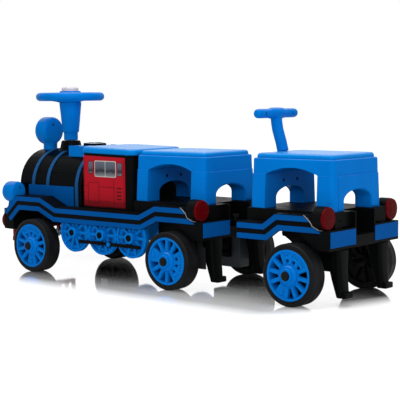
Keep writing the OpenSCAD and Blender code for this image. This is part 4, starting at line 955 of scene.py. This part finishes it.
# Chassis details; the flange is given as distance along x, out of the skirt and above the deck
FLANGE = ((-22, -0.6, 26.2), (-25.4, -0.4, 25), (-38, 0.6, 15.1), (-45, 2.8, 9.6), (-50, 6, 5.7),
          (-54, 8.2, 2.6), (-58, 5.4, -0.6), (-62, 1, -3.8), (-67, -0.4, -6.6), (-77, -0.6, -7.4))
LIP_RADII = (0.6, 1.1, 1.2, 1.2, 1.2, 1.2, 1.2, 1.1, 0.9, 0.5)
WALL_Y, RIB_R = (108.2, 111.8), 1.6


def make_chassis_details(name, body, x, z, boards):
    """Lips along the slanted rear edges, pale as a painted highlight, grip ribs on the running boards and
    rear screws.
    """
    bm, edges = bmesh.new(), bmesh.new()
    for side in SIDES:
        rim = [(x + u, side * (HALF_W + out), z + v) for u, out, v in FLANGE]
        tube(edges, rim, LIP_RADII, 10)
        inner = side * (HALF_W - 3)
        loft(bm, [[(u, inner, v - 0.9), (u, y, v - 0.9), (u, y, v + 0.9), (u, inner, v + 0.9)]
                  for u, y, v in rim])
        for x0, x1 in boards:
            for k in range(5):
                y = side * (112 + 8 * k)
                grip = [(x0, y, z - 0.2), (x0 + 3, y, z + 0.4), (x1 - 3, y, z + 0.4), (x1, y, z - 0.2)]
                tube(bm, grip, [0.9, 1.2, 1.2, 0.9], 8)
    finish_mesh(name + "_grips", bm, "boiler_black", body, "black_plastic")
    # The lips' pale tone is a painted highlight on the black chassis edge
    finish_mesh(name + "_lips", edges, "edge_painted_highlight", body, "black_plastic")
    make_screws(name + "_screws", body, [
        ((x - 84, side * y, z + 12), 2.6) for side in SIDES for y in (64, 92)])


def make_wheel_house(name, body, outline, look="black_plastic"):
    """Walls behind the wheels, below the sides of the plinth, with a rib along the lower edge."""
    bm = bmesh.new()
    for side in SIDES:
        prism(bm, outline, *WALL_Y, on_side(side))
        lower = outline[1:max(len(outline) - 2, 3)]
        tube(bm, [(u, side * 111.6, v + RIB_R) for u, v in lower], [RIB_R] * len(lower), 8)
    finish_mesh(name, bm, look, body, "black_plastic")


def make_gussets(name, body, x, low, high):
    """Three-cornered webs between the wheel house walls and the back wall of the plinth."""
    inner, outer, length = 84, 110, 16
    bm = bmesh.new()
    for side in SIDES:
        web = ((x, side * inner), (x, side * outer), (x + length, side * outer))
        loft(bm, [[(u, v, level) for u, v in web] for level in (low, high)])
    finish_mesh(name, bm, "black_plastic", body, "black_plastic", bevel=0.4)


make_chassis_details("loco_chassis", "locomotive", X_REAR, DECK_Z, ((46, 330),))
make_chassis_details("carriage_chassis", "carriage", X_CAR, CAR_DECK_Z, ((-378, -306),))
make_wheel_house("loco_wheel_house", "locomotive", [
    (-6, 184), (-6, 114), (-42, 114), (-60, 128), (-166, 128), (-166, 136), (-178.6, 172), (-178.6, 184)])
make_wheel_house("loco_splash_guard", "locomotive", [
    (-140, 132), (-140, 52), (-166, 52), (-166, 132)], "grey_plastic")
make_wheel_house("carriage_wheel_house", "carriage", [
    (-409, 188), (-409, 165), (-411, 157), (-418, 156), (-434, 146), (-450, 132), (-520, 132), (-520, 82),
    (-556, 82), (-556, 136), (-560.6, 176), (-560.6, 188)])
make_gussets("loco_gussets", "locomotive", -178.4, 171, 184)
make_gussets("carriage_gussets", "carriage", -560.4, 175, 188)


# Rear legs: sections as height, front, back and half width
LEG_SECTIONS = ((132, 53, 96, 23), (118, 56, 95.6, 22.4), (90, 61.6, 95.8, 20.8), (60, 69, 97.4, 19.4),
                (35, 76.5, 100, 18.4), (21.6, 80.8, 101.2, 18), (20.4, 82, 101.2, 17.4))
LEG_Y = 90
TOE = ((34, 99, 108.6, 17), (33, 98, 109.8, 17.6), (21.6, 96, 109.8, 17.6), (20.4, 96, 108.8, 17))


def make_legs(name, x, body):
    bm = bmesh.new()
    for side in SIDES:
        for sections, corner in ((LEG_SECTIONS, 9), (TOE, 3.5)):
            loft(bm, [[(x - (front + back) / 2 + u, side * LEG_Y + v, z)
                       for u, v in round_rect(back - front, 2 * half, corner, 6)]
                      for z, front, back, half in sections])
    finish_mesh(name + "_posts", bm, "black_plastic", body, "black_plastic", [name], angle=40)


make_legs("loco_rear_legs", X_REAR, "locomotive")
make_legs("carriage_rear_legs", X_CAR, "carriage")


# Controls, pedal grip, drive screws
def make_controls():
    """A pale cover on the tilted panel, with two flat switches in it."""
    x, z, slope = 342, 361, 1 / 16
    cover, keys = bmesh.new(), bmesh.new()

    def on_panel(u, v, h):
        return (x + u, v, z + slope * u + h)
    loft(cover, [[on_panel(u, v, h) for u, v in inset_rect((28, 58), 3, inset, steps=5)]
                 for h, inset in ((-0.4, 0), (0.5, 0), (1.0, 0.8))])
    for y in (-15, 15):
        loft(keys, [[on_panel(u, y + v, h) for u, v in round_rect(15, 18, 2, 4)] for h in (0.6, 1.7)])
    finish_mesh("control_cover", cover, "panel_pale", "locomotive")
    finish_mesh("control_keys", keys, "grey_plastic", "locomotive", "grey_plastic", bevel=0.4)


def make_pedal_grip():
    """Ribs across the pedal's upper face, which is tilted about its hinge."""
    hinge_x, middle_y, hinge_z, over = 241, -127.5, 192, 2.5
    lean, rise = cos(radians(11)), sin(radians(11))
    bm = bmesh.new()
    for u in range(16, 57, 8):
        x, z = hinge_x + u * lean - over * rise, hinge_z + u * rise + over * lean
        tube(bm, [(x, middle_y + v, z) for v in (-10.5, -9, 9, 10.5)], [0.6, 1.3, 1.3, 0.6], 8)
    finish_mesh("pedal_grip", bm, "black_plastic", "pedal", "black_plastic")


def make_drive_screws():
    inset = 5
    bm = bmesh.new()
    low, high = ([value / MM for value in corner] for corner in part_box("gearbox_cover"))
    for x in (low[0] + inset, high[0] - inset):
        for z in (low[2] + inset, high[2] - inset):
            rivet(bm, (x, low[1], z), (0, -1, 0), 3.2, 2.0, 14)
    finish_mesh("gearbox_screws", bm, "steel", "locomotive", "steel")


make_controls()
make_pedal_grip()
make_drive_screws()


# CAD nodes that keep their shape
NODE_LOOKS = {
    "loco_chassis": ("black_plastic", 1.6), "carriage_chassis": ("black_plastic", 1.6),
    "boiler_shell": ("boiler_black", 1.6), "smokebox_door": ("black_plastic", 1.2),
    # Darker blues on the boiler bands and side panels are painted shade
    "boiler_bands": ("band_shade_blue", 0.7), "boiler_side_panels": ("stripe_blue", 1.0),
    "lamp_lenses": ("clear_lens", 1.2),
    "dash_block": ("blue_plastic", 4.0), "control_panel": ("boiler_black", 1.5),
    "cab_body": ("black_plastic", 1.0), "cab_side_panels": ("red_panel", 0.6),
    "seat_hinge_pin": ("steel", 0.5), "battery": ("grey_plastic", 1.5),
    "side_wheel_panels": ("blue_plastic", 1.0), "coupling_rods": ("black_plastic", 1.0),
    "loco_trim": ("stripe_blue", 0.5), "carriage_trim": ("stripe_blue", 0.5),
    "pilot": ("red_plastic", 1.4),
    "rear_axle": ("dark_steel", 0.6), "carriage_axle": ("dark_steel", 0.6),
    "gearbox_housing": ("gearbox_grey", 1.2), "gearbox_cover": ("gearbox_grey", 0.8),
    "motor": ("steel", 1.0),
    "hitch_pin": ("dark_steel", 1.2), "steering_shaft": ("steel", 0.8),
    "foot_pedal": ("grey_plastic", 1.0), "left_knuckle": ("steel", 0.8), "right_knuckle": ("steel", 0.8),
    "tie_rod": ("steel", 0.8), "drive_gear": ("white_nylon", 0.2), "motor_pinion": ("steel", 0.2),
    "drawbar": ("black_plastic", 1.6),
}
for node, (look, width) in NODE_LOOKS.items():
    dress_node(node, look, width)


# Floor, light and camera
NEAR_GLOW, FAR_GLOW, WORLD_LIGHT = 0.34, 0.62, 0.36
POLISH = ((0.0, 1.0), (0.2, 0.97), (0.36, 0.87), (0.44, 0.81), (0.56, 0.7), (0.7, 0.61), (0.9, 0.52))
FLOOR_SIZE, FLOOR_CORNER, WHITE = (16000, 16000), 4000, grey(1.0)
CAMERA_PLACE, CAMERA_TURNS, CAMERA_LENS = (-2.0172, 2.3100, 0.4938), (-49.655, -5.234, -0.5), 102.22


def along(tree, place, axis):
    """How far a point lies along an axis."""
    return add_node(tree, "VectorMath", {0: place, 1: axis}, operation="DOT_PRODUCT").outputs["Value"]


def polish_share(tree, place):
    """How much of the floor mirrors: most beside the train, none further out or from above."""
    aside = maths(tree, "ABSOLUTE", maths(tree, "ADD", along(tree, place, (-0.25, 1.0, 0.0)), 0.06))
    across = grey_ramp(tree, maths(tree, "MULTIPLY", aside, 2.0), *POLISH)
    front = map_range(tree, split(tree, place, "Y"), 0.25, 0.345, 1.0, 0.0)
    rear = map_range(tree, along(tree, place, (1.1275, -0.354, 0.0)), -0.72, -0.61)
    near = maths(tree, "MULTIPLY", across, maths(tree, "MULTIPLY", front, rear))
    facing = add_node(tree, "LayerWeight", {"Blend": 0.5}).outputs["Facing"]
    return maths(tree, "MULTIPLY", near, map_range(tree, facing, 0.3, 0.82))


def make_floor():
    bm = bmesh.new()
    loft(bm, [[(u, v, z) for u, v in inset_rect(FLOOR_SIZE, FLOOR_CORNER, inset)]
              for inset, z in ((0, -0.2), (5, 0))])
    floor = loose("studio_floor", bm)
    material, tree, shader, place = blank("studio_white")
    tint = grey_ramp(tree, noise(tree, place, 3, 2), (0.3, 0.93), (0.7, 0.95))
    tree.links.new(tint, shader.inputs["Base Color"])
    shader.inputs["Roughness"].default_value = 0.3
    shader.inputs["Specular IOR Level"].default_value = 0.2
    seen = add_node(tree, "LightPath").outputs["Is Camera Ray"]
    away = add_node(tree, "VectorMath", {0: place}, operation="LENGTH").outputs["Value"]
    glow = maths(tree, "MULTIPLY", seen, map_range(tree, away, 0.7, 2.2, NEAR_GLOW, FAR_GLOW))
    shader.inputs["Emission Color"].default_value = WHITE
    tree.links.new(glow, shader.inputs["Emission Strength"])
    mirror = add_node(tree, "BsdfGlossy", {"Color": WHITE, "Roughness": 0.05})
    share = maths(tree, "MULTIPLY", polish_share(tree, place), seen)
    mixed = add_node(tree, "MixShader", {
        0: share, 1: shader.outputs["BSDF"], 2: mirror.outputs["BSDF"]})
    tree.links.new(mixed.outputs["Shader"], tree.nodes["Material Output"].inputs["Surface"])
    floor.data.materials.append(material)


def make_world():
    world = bpy.data.worlds.new("studio")
    world.use_nodes = True
    tree = world.node_tree
    shader = tree.nodes["Background"]
    shader.inputs["Color"].default_value = WHITE
    path = add_node(tree, "LightPath").outputs
    seen = maths(tree, "MAXIMUM", path["Is Camera Ray"], path["Is Glossy Ray"])
    seen = maths(tree, "MAXIMUM", seen, path["Is Transmission Ray"])
    tree.links.new(map_range(tree, seen, 0.0, 1.0, WORLD_LIGHT), shader.inputs["Strength"])
    bpy.context.scene.world = world


def make_lamp(name, place, target, size, power):
    data = bpy.data.lights.new(name, "AREA")
    data.shape = "RECTANGLE"
    data.size, data.size_y = size
    data.energy = power
    lamp = new_object(name, data)
    lamp.location = place
    lamp.rotation_euler = (Vector(target) - Vector(place)).to_track_quat("-Z", "Y").to_euler()


def make_camera():
    yaw, pitch, roll = (radians(turn) for turn in CAMERA_TURNS)
    look = Vector((cos(pitch) * cos(yaw), cos(pitch) * sin(yaw), sin(pitch)))
    data = bpy.data.cameras.new("photo_camera")
    data.sensor_fit = "HORIZONTAL"
    data.sensor_width = 36.0
    data.lens = CAMERA_LENS
    data.clip_start, data.clip_end = 0.05, 60.0
    camera = new_object("photo_camera", data)
    camera.location = CAMERA_PLACE
    turn = look.to_track_quat("-Z", "Y") @ Quaternion((0.0, 0.0, 1.0), roll)
    camera.rotation_euler = turn.to_euler()
    bpy.context.scene.camera = camera


bpy.context.scene.view_settings.view_transform = "Standard"
make_floor()
make_world()
make_lamp("overhead", (-0.2, 0.4, 2.6), (0.0, 0.0, 0.2), (2.6, 2.2), 54)
make_lamp("camera_side", (-2.2, 2.6, 1.6), (0.0, 0.0, 0.25), (1.6, 1.2), 30)
make_lamp("behind", (-2.6, 0.3, 1.3), (-0.2, 0.0, 0.3), (1.2, 0.9), 6)
make_camera()
